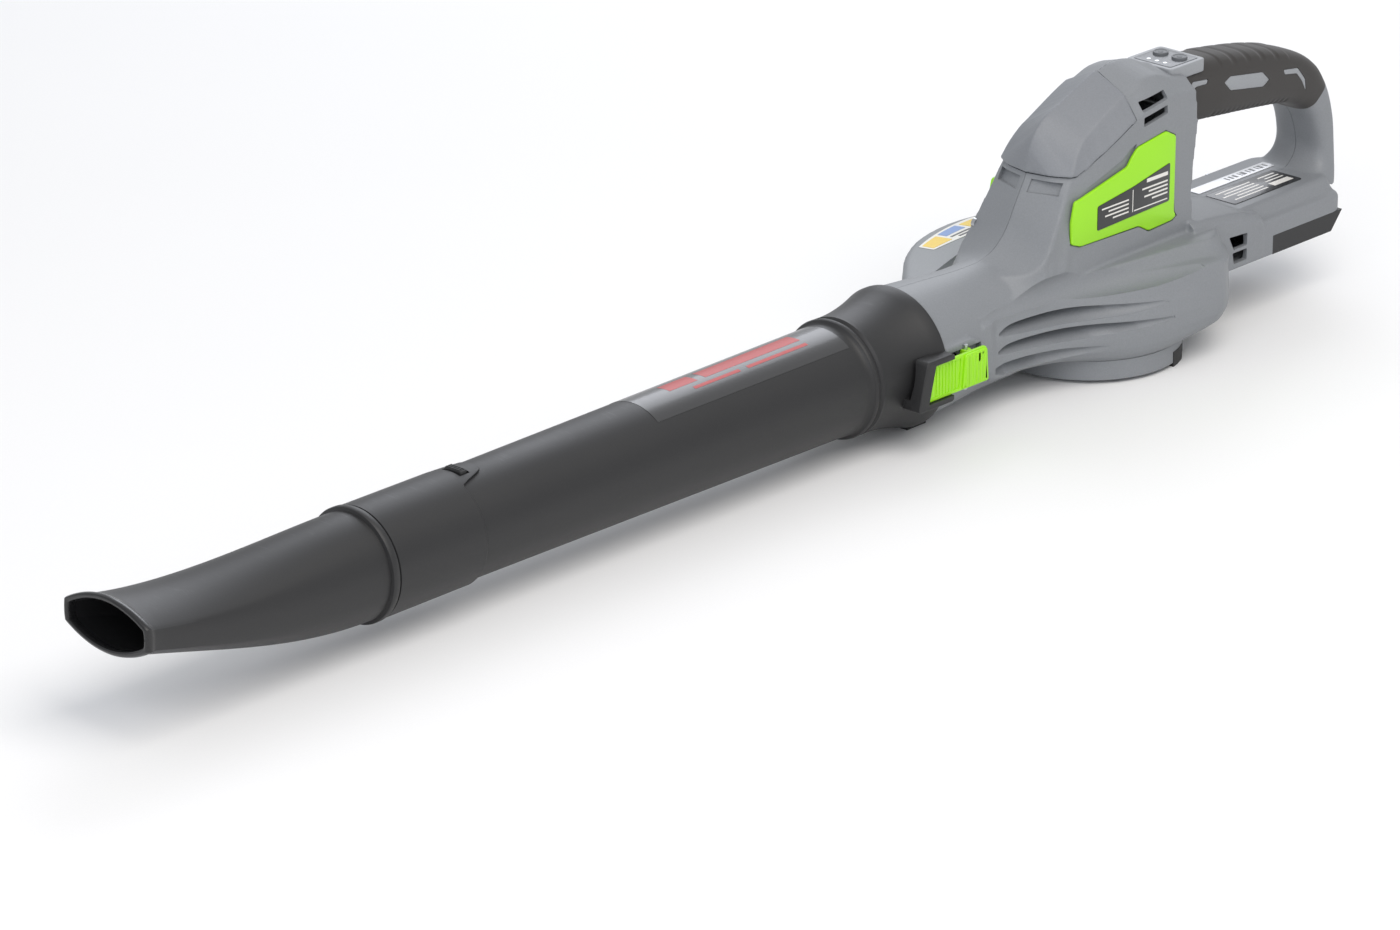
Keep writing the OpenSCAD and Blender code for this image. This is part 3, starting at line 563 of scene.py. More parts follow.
# Screen-printed polycarbonate of the control panel
PANEL = Finish("polycarbonate_panel", "#55585c", 0.3, 1.58, grain_mm=0.5, grain_depth_mm=0.01)
BUTTON = Finish("silicone_key", "#63666a", 0.42, 1.43, grain_mm=0.5, grain_depth_mm=0.01)
LED = Finish("diffuser_white", "#e8edf2", 0.25, 1.49, grain_mm=0.6, grain_depth_mm=0.004, glow=0.25)
# Bright zinc plating, cold-rolled steel, ground shaft steel
ZINC = Finish("steel_zinc_plated", "#b9bbbd", 0.32, metallic=1.0, grain_mm=0.4, grain_depth_mm=0.006)
CAN_STEEL = Finish("steel_deep_drawn", "#9fa1a4", 0.38, metallic=1.0, grain_mm=0.5, grain_depth_mm=0.01,
                   brushed=Axis.Z)
GROUND_STEEL = Finish("steel_ground", "#c4c6c8", 0.2, metallic=1.0, grain_mm=0.3, grain_depth_mm=0.004,
                      ring_mm=1.5)
FERRITE = Finish("ferrite_magnet", "#2d2d30", 0.55, 2.3, grain_mm=0.5, grain_depth_mm=0.05)
COPPER = Finish("copper_enamelled", "#a4562f", 0.35, metallic=1.0, grain_mm=0.5, grain_depth_mm=0.04,
                brushed=Axis.Z)
CARBON = Finish("carbon_brush", "#26262a", 0.6, 2.0, grain_mm=0.4, grain_depth_mm=0.05)
BRASS = Finish("brass_plated", "#b08c48", 0.3, metallic=1.0, grain_mm=0.4, grain_depth_mm=0.008)
BOARD = Finish("fr4_solder_mask", "#1f5a33", 0.35, 1.55, grain_mm=1.0, grain_depth_mm=0.02, coat=0.3)
# Matt paper of the studio floor
FLOOR_PAPER = Finish("floor_paper", "#eeeeee", 0.75, 1.45, grain_mm=1.5, grain_depth_mm=0.01, drift=0.01,
                     drift_mm=400, marks=0.0)
WIRE_RED = Finish("pvc_lead", "#6b1717", 0.42, 1.54, grain_mm=0.8, grain_depth_mm=0.01)


def finish(piece: Object, look: Finish, body: str = "body", stands_for: Sequence[str] = (),
           angle: float = 35) -> Object:
    """Dresses a finished piece, hangs it on its body and hides the frame's nodes that it stands for.

    Args:
        piece: The piece.
        look: Its finish.
        body: The body that it rides on.
        stands_for: The frame's nodes that it replaces.
        angle: Sharpest angle, in degrees, that is still shaded smooth.

    Returns:
        The same piece.
    """
    piece.data.materials.clear()
    piece.data.materials.append(look.material())
    shade(piece, angle)
    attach(piece, body)
    if stands_for:
        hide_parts(*stands_for)
    LOG.info("%s: %d faces, %s", piece.name, len(piece.data.polygons), look.name)
    return piece


def node_box(node: str) -> tuple[Point, Point]:
    """The lowest and highest corner of a frame node in millimetres."""
    low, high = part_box(node)
    return tuple(c / MM for c in low), tuple(c / MM for c in high)


def loose_boxes(node: str, cell: float = 6.0) -> list[tuple[float, float]]:
    """Centres in X and Z of a frame node's separate solids that lie along Y.

    Args:
        node: The frame's node.
        cell: Distance in millimetres within which two points belong to one solid.

    Returns:
        The centres in millimetres.
    """
    groups: list[list[Vector]] = []
    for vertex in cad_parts[node].data.vertices:
        place = vertex.co / MM
        for group in groups:
            if abs(group[0].x - place.x) < cell and abs(group[0].z - place.z) < cell:
                group.append(place)
                break
        else:
            groups.append([place])
    return [(sum(p.x for p in g) / len(g), sum(p.z for p in g) / len(g)) for g in groups]


def smooth_step(value: float) -> float:
    """An S-shaped rise from 0 to 1."""
    t = min(max(value, 0.0), 1.0)
    return t * t * (3 - 2 * t)


def mirrored_ring(x: float, half: Sequence[Pair]) -> Ring:
    """A ring across X from its left half, given from the top of the seam to the bottom."""
    left = [(x, y, z) for y, z in half]
    right = [(x, -y, z) for y, z in reversed(half) if y > 0.01]
    return left + right


# ---------- housing ----------


@dataclass
class Casing:
    """The skins that make up the grey housing: fan casing, neck, tower, handle core, post and base.

    Each skin is drawn at an inset, so that the same function gives the outside and the hollow.
    """

    axis_z: float = node_box("tube_seal")[0][2] / 2 + node_box("tube_seal")[1][2] / 2
    outlet_x: float = node_box("air_tube")[0][0] - 0.3
    wall: float = 2.5
    tower_half: float = 30.5
    rear_x: float = node_box("battery_rails")[0][0]
    deck_z: float = node_box("deck_label")[0][2]
    base_z: float = node_box("battery_rails")[0][2]
    bowl_r: float = node_box("intake_bowl")[1][1]
    seat_z: float = 14.0
    crease_z: float = 56.5

    # Plan of the fan casing from the front of its left side round to the right: rim, then top crease
    plan: tuple = (
        (132, 29, 132, 29), (110, 31.5, 110, 29.3), (88, 34, 88, 31), (67, 38.5, 66, 34),
        (46, 47, 45, 41.5), (28, 55.5, 27, 50.5), (8, 61.5, 7, 56.5), (-12, 64, -12, 58.5),
        (-30, 65.5, -30, 60.5), (-46, 65, -45, 61.5), (-61, 57, -60, 55.5), (-75, 43, -74, 42),
        (-83, 22, -82, 21.5), (-86, 0, -85, 0), (-83, -32, -82, -32), (-66, -62, -65.5, -61.5),
        (-38, -87, -37.5, -86), (0, -98, 0, -97), (38, -94, 37.5, -93), (70, -79, 69, -78),
        (96, -58, 95, -57), (116, -42, 115, -40), (132, -32, 132, -30))
    # Height, share of the way from the bowl to the rim, share from rim to crease, size about the middle
    levels: tuple = (
        (14, 0, 0, 1), (15.5, 0.3, 0, 1), (18, 0.62, 0, 1), (22, 0.88, 0, 1), (28, 1, 0, 1), (36, 1, 0, 1),
        (44, 1, 0.25, 1), (51, 1, 0.7, 1), (56, 1, 1, 1), (57.4, 1, 1, 0.975), (58.4, 1, 1, 0.9),
        (59.8, 1, 1, 0.78), (62, 1, 1, 0.55))
    # Neck: distance ahead of the fan's axis, half width, half height, height above the tube's axis
    necks: tuple = (
        (10, 50, 29, 1.5), (36, 43, 31.5, 2.5), (62, 36, 34, 1.5), (92, 32, 36, 0.5), (116, 32, 36.5, 0),
        (140, 35.5, 38, 0), (168, 39.5, 39.5, 0))
    # Ledge round the tower's foot: X, its edge in Y and Z, then the crease under it in Y and Z
    ledges: tuple = (
        (-80, 26, 65, 33, 54), (-70, 40, 65.5, 49, 54.5), (-56, 48, 66, 59, 55), (-43, 46, 66, 61, 55),
        (-31, 44, 66, 59.5, 55), (-15, 42, 66, 56.5, 55), (1, 40, 66, 52, 55), (16, 38, 66, 47.5, 55.3),
        (31, 36, 65.5, 42, 55.6), (50, 33.4, 64, 36.8, 56.3), (70, 31.2, 62.5, 33, 57),
        (90, 29.8, 61.5, 31, 57), (110, 29.2, 61, 30.4, 57), (128, 30, 61, 31.8, 57.5))
    # Tower: X, height of the ridge, edge in Y and Z, top of the side in Y and Z
    towers: tuple = (
        (102, 78.6, 12, 75.4, 24, 64), (92, 80.2, 19, 74, 28, 63.5), (84, 83, 25.5, 74, 30.4, 65),
        (77, 88, 29.6, 77.5, 31, 72), (71, 95, 30.2, 83, 30.2, 81), (65.5, 105, 29.3, 91, 29.8, 88),
        (59, 116, 28, 101, 28.6, 97), (55, 123.5, 27.2, 107, 28, 103), (52.5, 134, 26.6, 111.5, 27.5, 107),
        (49, 141.5, 26, 117, 27.2, 112), (45, 146, 25.3, 123, 27, 117.5), (40, 150, 23.6, 131, 27.5, 121.5),
        (32, 153.6, 21.6, 139.3, 28.4, 127), (18, 159, 20.6, 147.5, 29.7, 134),
        (2, 165.6, 20.4, 155, 30.3, 141.5), (-12, 169.8, 20.2, 160, 30.4, 147),
        (-22, 171, 20, 163, 30, 150), (-36, 168.5, 20, 163, 29.2, 152),
        (-48, 163.3, 20.2, 158.5, 28.6, 150), (-62, 160, 20.2, 156, 28.4, 149))
    # Handle and post: top X and Z, bottom X and Z, half width
    grips: tuple = (
        (-62, 160, -62, 122.5, 17), (-86, 158.5, -85, 120.5, 17), (-109, 156, -106, 118.5, 17.5),
        (-147, 150, -141, 115, 17.5), (-178, 141.5, -165, 112, 17.5), (-194.4, 131.6, -176.6, 108.3, 17.6),
        (-203, 120, -184, 104, 17.5))
    posts: tuple = (
        (-201, 123, -182, 106, 15.2), (-203, 120, -184, 104, 17.5), (-208, 109, -189, 97, 17.5),
        (-211, 95, -193, 87, 18), (-212, 80, -194.5, 78, 18.5), (-211.8, 70, -192, 71, 19.8),
        (-210, 63, -186, 66, 22.5), (-205, 56, -178, 62, 27))

    def fan_case(self, inset: float = 0.0) -> Object:
        """The round fan casing, flared from the bowl to its rim."""
        columns = spline(self.plan, 4, closed=True)
        rings = []
        for z, spread, crease, size in self.levels:
            outline = []
            for rim_x, rim_y, top_x, top_y in columns:
                wide = Vector((rim_x + (top_x - rim_x) * crease, rim_y + (top_y - rim_y) * crease))
                seat = wide.normalized() * self.bowl_r
                outline.append(tuple((seat + (wide - seat) * spread) * size))
            height = z - inset if z == self.seat_z or z > self.crease_z else z
            rings.append([(x, y, height) for x, y in grown(outline, -inset)])
        return loft("fan_case", rings)

    def neck(self, inset: float = 0.0) -> Object:
        """The oval duct from the fan casing to the tube."""
        rings = []
        for x, width, height, rise in spline(self.necks, 5):
            rings.append([(x, a * (width - inset), self.axis_z + rise + b * (height - inset))
                          for a, b in circle(1.0, 72)])
        return loft("neck", rings)

    def ledge(self) -> Object:
        """The ledge round the tower's foot, with the hollow sweep below its edge."""
        rings = []
        for x, edge_y, edge_z, low_y, low_z in spline(self.ledges, 3):
            middle = ((edge_y + low_y) / 2 - 1.4, (edge_z + low_z) / 2 - 1)
            half = [(0.0, edge_z + 1.5), (edge_y, edge_z), middle, (low_y, low_z), (low_y - 1, 48),
                    (0.0, 48)]
            rings.append(mirrored_ring(x, half))
        return loft("ledge", rings)

    def tower(self, inset: float = 0.0) -> Object:
        """The tower with its creased front, at an inset or proud of it where the inset is negative."""
        rings = []
        for x, ridge, edge_y, edge_z, side_y, side_z in spline(self.towers, 3):
            half = [(0.0, ridge - inset), (edge_y - inset, edge_z - inset * 0.8), (side_y - inset, side_z)]
            foot = 54.0
            for step in range(1, 6):
                z = side_z + (foot - side_z) * step / 5
                flare = 1.5 * smooth_step((77 - z) / 5)
                lean = smooth_step((side_z - z) / 24)
                y = side_y + (max(self.tower_half, side_y) - side_y) * lean + flare
                half.append((y - inset, z))
            half.append((0.0, foot))
            place = x - inset * (1 if x > 30 else -1 if x < -40 else 0)
            ring = mirrored_ring(place, half)
            if x <= self.towers[-1][0] + 0.01:
                ring = [(px + 5 * smooth_step((128 - z) / 33), y, z) for px, y, z in ring]
            rings.append(ring)
        return loft("tower", rings)

    @staticmethod
    def bar_ring(station: Sequence[float], inset: float, count: int = 48,
                 relief: Optional[Callable[[float, float], float]] = None) -> Ring:
        """A rounded section of the handle.

        Args:
            station: Top X and Z, bottom X and Z, half width.
            inset: Distance inside the surface.
            count: Points round the section.
            relief: Height of a raised or sunk pattern from the angle and X, or None.

        Returns:
            The ring.
        """
        top, bottom = Vector(station[0:2]), Vector(station[2:4])
        middle, reach = (top + bottom) / 2, (top - bottom) / 2
        span = reach.length
        ring = []
        for i in range(count):
            a = math.tau * (i + 0.5) / count
            u = math.copysign(abs(math.cos(a)) ** 0.62, math.cos(a)) / 0.985
            v = math.copysign(abs(math.sin(a)) ** 0.62, math.sin(a)) / 0.99
            lift = (relief(a, middle.x + reach.x * v) if relief else 0.0) - inset
            place = middle + reach * v * (span + lift) / span
            ring.append((place.x, -(station[4] + lift) * u, place.y))
        return ring

    def bar(self, name: str, stations: Sequence[Sequence[float]], inset: float, steps: int = 6) -> Object:
        """A curved bar of the handle through its stations."""
        return loft(name, [self.bar_ring(s, inset) for s in spline(stations, steps)])

    def base(self, inset: float = 0.0) -> Object:
        """The battery base with its sloped shoulders and rounded rear corners."""
        def half(narrow: float) -> list[Pair]:
            """The left half of the base's section, narrowed at its rear end."""
            n = narrow + inset
            return [(0.0, self.deck_z - inset), (26 - n, self.deck_z - inset),
                    (28.5 - n, self.deck_z - 1 - inset), (33 - n, 58 - inset), (36.5 - n, 57 - inset),
                    (38 - n, 55.5 - inset), (38 - n, self.base_z + inset), (0.0, self.base_z + inset)]
        ends = [(self.rear_x, 5.0), (self.rear_x + 1.2, 2.2), (self.rear_x + 4, 0.6),
                (self.rear_x + 8, 0.0), (-66.0, 0.0)]
        return loft("base", [mirrored_ring(x + (inset if x < -100 else 0), half(narrow))
                             for x, narrow in ends])

    def step(self, inset: float = 0.0) -> Object:
        """The block that carries the tower's width into the base."""
        def half(height: float) -> list[Pair]:
            """The left half of the step's section at a height of its top."""
            return [(0.0, height - inset), (34 - inset, height - 2 - inset),
                    (37.4 - inset, height - 5 - inset), (38.3 - inset, 60),
                    (38.3 - inset, self.base_z + inset), (0.0, self.base_z + inset)]
        rows = [(-116.0, 64.6), (-110, 65.4), (-101, 68.6), (-90, 70.4), (-70, 72.6), (-52, 74)]
        return loft("step", [mirrored_ring(x, half(height)) for x, height in rows])

    def cheek(self) -> Object:
        """The raised cheek round a latch on the left side."""
        low, high = node_box("latch_left")
        outline = rounded([(low[0] - 7, low[2] + 1), (low[0] - 3, low[2] - 4),
                           (self.outlet_x - 1, low[2] - 4), (self.outlet_x - 1, high[2] + 4),
                           (low[0] + 5, high[2] + 4), (low[0] - 7, high[2] - 4)], 2)
        return plate("cheek", outline, 25, low[1] + 2.4)


@dataclass
class Housing:
    """The two halves of the grey housing with their vents, flutes, pockets and seam."""

    casing: Casing
    voxel: float = 1.0
    seam: float = 0.14
    flute_reach: float = 9.0
    flute_wall: float = 2.2
    hood_gap: float = 1.2
    # Side outline of the space that the hood takes
    hood_zone: tuple = ((90, 122), (43, 122), (-6, 145), (-6, 200), (90, 200))
    # Side badge
    badge: tuple = (
        (-32, 132.5), (-40.5, 128), (-40.5, 82), (-42.5, 79), (-39, 77), (-17.5, 76), (-8.5, 81),
        (43.5, 82), (51.5, 85), (52, 98), (49, 110), (44.5, 110.5), (2.5, 119.5), (-1, 124), (-6.5, 129))
    # Hollow above the badge's sloping edge
    badge_hollow: tuple = (
        (50.5, 110.6), (45, 111.6), (6, 125), (0.5, 129), (-6, 131.5), (-4, 124), (2.5, 118.5), (44, 109.5))
    # Flutes of the flank, as X, Y of the surface, top, bottom and depth
    flutes: tuple = (
        ((114, 30.4, 49, 47.5, 0.3), (104, 31, 51.2, 45.2, 7), (85, 33.2, 51.6, 43.6, 12),
         (61, 38.6, 51.2, 43, 12), (40, 47, 50, 43, 5.2), (17, 57.4, 48.2, 43.6, 2.1),
         (-2, 61.6, 46.4, 44.8, 0.2)),
        ((115, 30.6, 38.5, 37, 0.3), (105, 31.6, 40.6, 35, 6), (86, 34.6, 40.8, 33.4, 11),
         (62, 39.6, 40.4, 32.6, 11), (40, 50, 39.6, 32.8, 6.5), (15, 59.6, 38, 33.4, 2.3),
         (-4, 63, 36.4, 34.4, 0.2)),
        ((118, 28.5, 29, 27, 0.3), (106, 29.6, 29.8, 22, 5), (88, 33, 29.6, 19, 8), (66, 40, 28.6, 18, 7),
         (46, 48.5, 27, 19, 3), (32, 54.5, 25.5, 21, 0.2)))

    # Sweep between the two creases: X, Y and Z on the surface, radius of the scoop and its depth
    sweep: tuple = (
        (130, 31.6, 60, 4, 0.1), (122, 30.4, 59.6, 5, 1.0), (109, 29.6, 59.2, 6.5, 1.7),
        (88, 30.6, 59.4, 8, 2.1), (70, 32.8, 59.8, 9.5, 2.2), (50, 35.4, 60, 11, 2.2),
        (31, 39, 60.2, 12, 2.1), (8, 45, 60.4, 13, 1.6), (-16, 50, 60.6, 13, 0.7), (-34, 53, 61, 13, -0.3))

    def scoop(self, margin: float = 0.0) -> Object:
        """The long round scoop of the sweep, larger by a margin for the wall behind it."""
        lean = (math.cos(math.radians(38)), math.sin(math.radians(38)))
        rings = []
        for x, y, z, radius, depth in spline(self.sweep, 4):
            away = radius - depth
            centre = (y + lean[0] * away, z + lean[1] * away)
            rings.append([(x, centre[0] + a, centre[1] + b) for a, b in circle(radius + margin, 32)])
        return loft("scoop", rings)

    def cut_sides(self, body: Object, tool: Object) -> None:
        """Cuts a left-side tool and its mirror image out of the body."""
        other = twin(tool, "other_side", mirror=True)
        combine(body, tool, Fuse.CUT)
        combine(body, other, Fuse.CUT)

    def flute(self, rows: Sequence[Sequence[float]], margin: float = 0.0) -> Object:
        """A scoop whose roof overhangs and whose floor slopes out to the next fin.

        Args:
            rows: The flute's stations.
            margin: Distance by which the tool is larger than the scoop, for the wall behind it.

        Returns:
            The tool.
        """
        rings = []
        for x, y, top, bottom, depth in spline(rows, 5):
            out = self.flute_reach
            deep = max(depth, 0.1) + margin
            slope = (top - bottom) / (deep + 0.1)
            low = bottom - min(slope, 0.9) * out * 0.4 - margin
            rings.append([(x, y + out, top + 0.8 + margin), (x, y - deep, top - 0.6 + margin),
                          (x, y - deep, top - 1.8), (x, y, bottom - margin), (x, y + out, low)])
        return loft("flute", rings)

    def skin(self) -> Object:
        """Melts the outer skins into one."""
        case = self.casing
        cheek = case.cheek()
        parts = [case.fan_case(), case.neck(), case.ledge(), case.tower(),
                 case.bar("core", case.grips, 2.6), case.bar("post", case.posts, 0.0), case.base(),
                 case.step(), twin(cheek, "cheek_right", True), cheek,
                 drum("spigot", (case.outlet_x - 10, 0, case.axis_z), 33, 52, Axis.X, 96)]
        return soften(merge("housing_shell", parts), self.voxel, 5)

    def hollow(self) -> Object:
        """The space inside the walls."""
        case, wall = self.casing, self.casing.wall
        parts = [case.fan_case(wall), case.neck(wall), case.tower(wall),
                 case.bar("post", case.posts[2:], wall), case.base(wall),
                 drum("duct", (case.outlet_x - 8, 0, case.axis_z), 29, 60, Axis.X, 72),
                 drum("fan_room", (0, 0, 31), node_box("fan_wheel")[1][1] + 0.6, 19.2, sides=96)]
        room = soften(merge("hollow", parts), 2.0, 2)
        for rows in self.flutes:
            self.cut_sides(room, self.flute(rows, self.flute_wall))
        self.cut_sides(room, self.scoop(self.flute_wall))
        return room

    def vents(self) -> list[Object]:
        """Louvres of the tower and of the base on the left side."""
        made = []
        for drop in (0.0, 8.5):
            outline = [(-12, 153.5 - drop), (-34, 156 - drop), (-34, 151 - drop), (-12, 148 - drop)]
            made.append(plate("tower_vent", rounded(outline, 0.8, 2), 18, 45))
        made.append(plate("base_vent", rounded([(-84, 56), (-101, 55), (-101, 47.5), (-88.5, 47.3)], 0.8,
                                               2), 27, 50))
        made.append(plate("base_vent", rounded([(-87.5, 45.5), (-101, 45.5), (-101, 38.5), (-89, 38.5)],
                                               0.8, 2), 27, 50))
        return made

    def brow(self) -> Object:
        """The shallow recess in the tower's face just below the hood."""
        rings = []
        for y in (4.0, 22.5):
            high, low = 57 - 0.42 * y, 61.6 - 0.42 * y
            rings.append([(high - 1.3, y, 119.5), (high + 8, y, 119.5), (low + 8, y, 112.5),
                          (low - 1.3, y, 112.5)])
        return loft("brow", rings)

    def build(self) -> None:
        """Models both halves and hands them over."""
        body = self.skin()
        combine(body, self.hollow(), Fuse.CUT)
        for rows in self.flutes:
            self.cut_sides(body, self.flute(rows))
        self.cut_sides(body, self.scoop())
        for vent in self.vents():
            self.cut_sides(body, vent)
        self.cut_sides(body, self.brow())
        zone = plate("hood_room", self.hood_zone, -60, 60)
        combine(body, zone, Fuse.CUT)
        face = node_box("badge_left")[0][1]
        self.cut_sides(body, plate("badge_room", grown(self.badge, 0.5), face - 0.1, 50))
        self.cut_sides(body, plate("badge_hollow", rounded(self.badge_hollow, 1.5), face - 0.6, 50))
        low, high = node_box("latch_left")
        self.cut_sides(body, block("latch_room", (low[0] - 0.6, 34.5, low[2] - 0.3),
                                   (self.casing.outlet_x + 3, 60, high[2] + 0.3)))
        low, high = node_box("panel_frame")
        combine(body, block("panel_room", (low[0] - 0.1, low[1] - 0.1, low[2] - 0.1),
                            (high[0] + 0.1, high[1] + 0.1, high[2] + 30)), Fuse.CUT)
        low, high = node_box("battery_rails")
        combine(body, block("bay", (low[0] - 30, low[1] - 5, low[2] - 20),
                            (high[0] + 0.1, high[1] + 5, high[2] + 0.1)),
                Fuse.CUT)
        for x, z in loose_boxes("housing_screws"):
            combine(body, drum("screw_well", (x, -90, z), 3.3, 61.5, Axis.Y, 32), Fuse.CUT)
        self.split(body)

    def split(self, body: Object) -> None:
        """Cuts the body along its seam and dresses the halves."""
        for side, node in ((1, "housing_left"), (-1, "housing_right")):
            part = twin(body, node.replace("housing", "housing_shell"))
            reach = (self.seam, 150.0) if side > 0 else (-150.0, -self.seam)
            combine(part, block("side", (-300, reach[0], -50), (300, reach[1], 300)), Fuse.KEEP)
            finish(part, CASE_GREY, stands_for=[node], angle=40)
        bpy.data.objects.remove(body)


@dataclass
class Hood:
    """The motor hood: a faceted cap that stands a little proud of the tower."""

    casing: Casing
    housing: Housing
    proud: float = 1.3
    wall: float = 2.5

    def build(self) -> None:
        """Models the hood."""
        cap = self.casing.tower(-self.proud)
        cap.name = "hood_shell"
        zone = plate("zone", grown(self.housing.hood_zone, -self.housing.hood_gap / 2), -60, 60)
        combine(cap, zone, Fuse.KEEP)
        soften(cap, 0.8, 6)
        combine(cap, self.casing.tower(self.wall - self.proud), Fuse.CUT)
        finish(cap, HOOD_GREY, stands_for=["motor_hood"], angle=45)


# ---------- air path ----------


@dataclass
class Tube:
    """The tapering air tube with its flared collar, latch bosses, snap lug and printed film."""

    axis_z: float
    outlet_x: float
    end_x: float = node_box("air_tube")[1][0]
    collar_front: float = 218.0
    rear_r: float = 32.0
    front_r: float = 29.0
    wall: float = 2.0
    collar_r: float = 41.0
    spigot_r: float = 33.05
    latch_front: float = node_box("latch_left")[1][0]

    def radius(self, x: float) -> float:
        """The tube's outer radius at a distance along it."""
        share = (self.end_x - x) / (self.end_x - self.collar_front - 6)
        return self.front_r + (self.rear_r - self.front_r) * share

    def profile(self) -> list[Pair]:
        """Radius and X of the tube's section, from the bore round the front end and back over the collar."""
        front = self.collar_front
        points = [(self.spigot_r, front - 16), (self.spigot_r, front - 6),
                  (self.rear_r - self.wall, front - 3)]
        points += [(self.front_r - self.wall, self.end_x - 0.4),
                   (self.front_r - self.wall + 0.5, self.end_x), (self.front_r - 0.5, self.end_x),
                   (self.front_r, self.end_x - 0.6)]
        points += [(self.radius(front + 8), front + 8), (self.rear_r + 0.1, front + 5),
                   (self.rear_r + 0.9, front + 3.6), (self.rear_r + 2.1, front + 2.9),
                   (self.rear_r + 2.6, front + 1.9), (self.rear_r + 2.6, front + 0.6),
                   (self.rear_r + 2.1, front - 0.3), (self.rear_r + 1.3, front - 0.9),
                   (self.rear_r + 1.2, front - 2.3), (self.rear_r + 1.9, front - 2.9),
                   (self.rear_r + 2.5, front - 3.7), (self.rear_r + 2.4, front - 5)]
        start, stop = self.outlet_x + 3.6, front - 6
        for step in range(9):
            u = 1 - step / 8
            points.append((self.rear_r + 2.4 + (self.collar_r - self.rear_r - 2.4) * (1 - u) ** 1.9,
                           start + (stop - start) * u))
        points += [(self.collar_r, self.outlet_x + 1.0), (self.collar_r - 0.5, self.outlet_x + 0.3),
                   (self.collar_r - self.wall, self.outlet_x + 0.3),
                   (self.collar_r - self.wall, self.outlet_x + 6)]
        return points

    def boss(self) -> Object:
        """The boss on the left of the collar, with its slanted pocket for the latch."""
        low, high = node_box("latch_left")
        front = self.latch_front
        outline = [(self.outlet_x + 0.3, low[2] - 3.6), (front + 9.5, low[2] - 3.6),
                   (front + 2.5, high[2] + 3.6), (self.outlet_x + 0.3, high[2] + 3.6)]
        made = plate("boss", rounded(outline, 2.2), 33, 46, edge=0.9)
        combine(made, drum("bore", (self.outlet_x - 1, 0, self.axis_z), self.collar_r - self.wall, 30,
                           Axis.X, 96),
                Fuse.CUT)
        return combine(made, drum("throat", (self.outlet_x + 20, 0, self.axis_z), 35, 30, Axis.X, 96),
                       Fuse.CUT)

    def pocket(self) -> Object:
        """The space in the boss that takes the latch and its hook."""
        low, high = node_box("latch_left")
        front = self.latch_front
        outline = [(self.outlet_x - 9, low[2] - 0.3), (front + 0.9, low[2] - 0.3),
                   (front - 4.6, high[2] + 0.3), (self.outlet_x - 9, high[2] + 0.3)]
        hook = [(front - 6, low[2] - 0.3), (front + 0.9, low[2] - 0.3), (front - 4.6, high[2] + 0.3),
                (front - 11.4, high[2] + 0.3)]
        room = plate("pocket", rounded(outline, 0.8), low[1] + 2.3, 60)
        return combine(room, plate("hook_room", hook, 39, 50), Fuse.ADD)

    def film(self, name: str, start: float, stop: float, half_angle: float, lift: float, thick: float,
             middle: float = 0.0) -> Object:
        """A film wrapped over the top of the tube.

        Args:
            name: The film's name.
            start: Where it starts along X.
            stop: Where it ends.
            half_angle: Half of the angle that it covers, in degrees.
            lift: Height of its underside above the tube.
            thick: Its thickness.
            middle: Angle of its middle away from the top, in degrees.

        Returns:
            The film.
        """
        rings = []
        turns = [math.radians(90 + middle - half_angle + half_angle * i / 12) for i in range(25)]
        for x in (start, (start + stop) / 2, stop):
            low, high = self.radius(x) + lift, self.radius(x) + lift + thick
            rings.append([(x, high * math.cos(t), self.axis_z + high * math.sin(t)) for t in turns]
                         + [(x, low * math.cos(t),
                             self.axis_z + low * math.sin(t)) for t in reversed(turns)])
        return loft(name, rings)

    def build(self) -> None:
        """Models the tube, its film and the generic print on it."""
        tube = turned("tube_shell", self.profile(), Axis.X, (0, 0, self.axis_z), 128)
        boss = self.boss()
        combine(tube, twin(boss, "boss_right", mirror=True), Fuse.ADD)
        combine(tube, boss, Fuse.ADD)
        pocket = self.pocket()
        combine(tube, twin(pocket, "pocket_right", mirror=True), Fuse.CUT)
        combine(tube, pocket, Fuse.CUT)
        low, high = self.lug_box()
        combine(tube, block("lug", low, high, 0.7), Fuse.ADD)
        for i in range(3):
            x = low[0] + 0.7 + i * 1.5
            combine(tube, block("lug_rib", (x, low[1] + 1, low[2]), (x + 0.8, high[1] - 1, high[2] + 0.4),
                                0.2), Fuse.ADD)
        finish(tube, TUBE_BLACK, stands_for=["air_tube"], angle=32)
        low, high = node_box("tube_sticker")
        film = self.film("tube_film", low[0], high[0], 37, 0.02, 0.12)
        finish(film, STICKER, stands_for=["tube_sticker"])
        for start, stop, middle, wide in ((22, 98, 4, 9), (104, 126, 4, 9), (22, 70, -14, 2.2),
                                          (76, 112, -14, 2.2)):
            bar = self.film("film_print", low[0] + start, low[0] + stop, wide, 0.15, 0.05, middle)
            finish(bar, PRINT_RED)

    def lug_box(self) -> tuple[Point, Point]:
        """Corners of the lug that the nozzle's tongue snaps over."""
        x = node_box("nozzle")[0][0] + 9.9
        z = self.axis_z + self.front_r - 1
        return (x, -6, z), (x + 4.8, 6, z + 4.2)


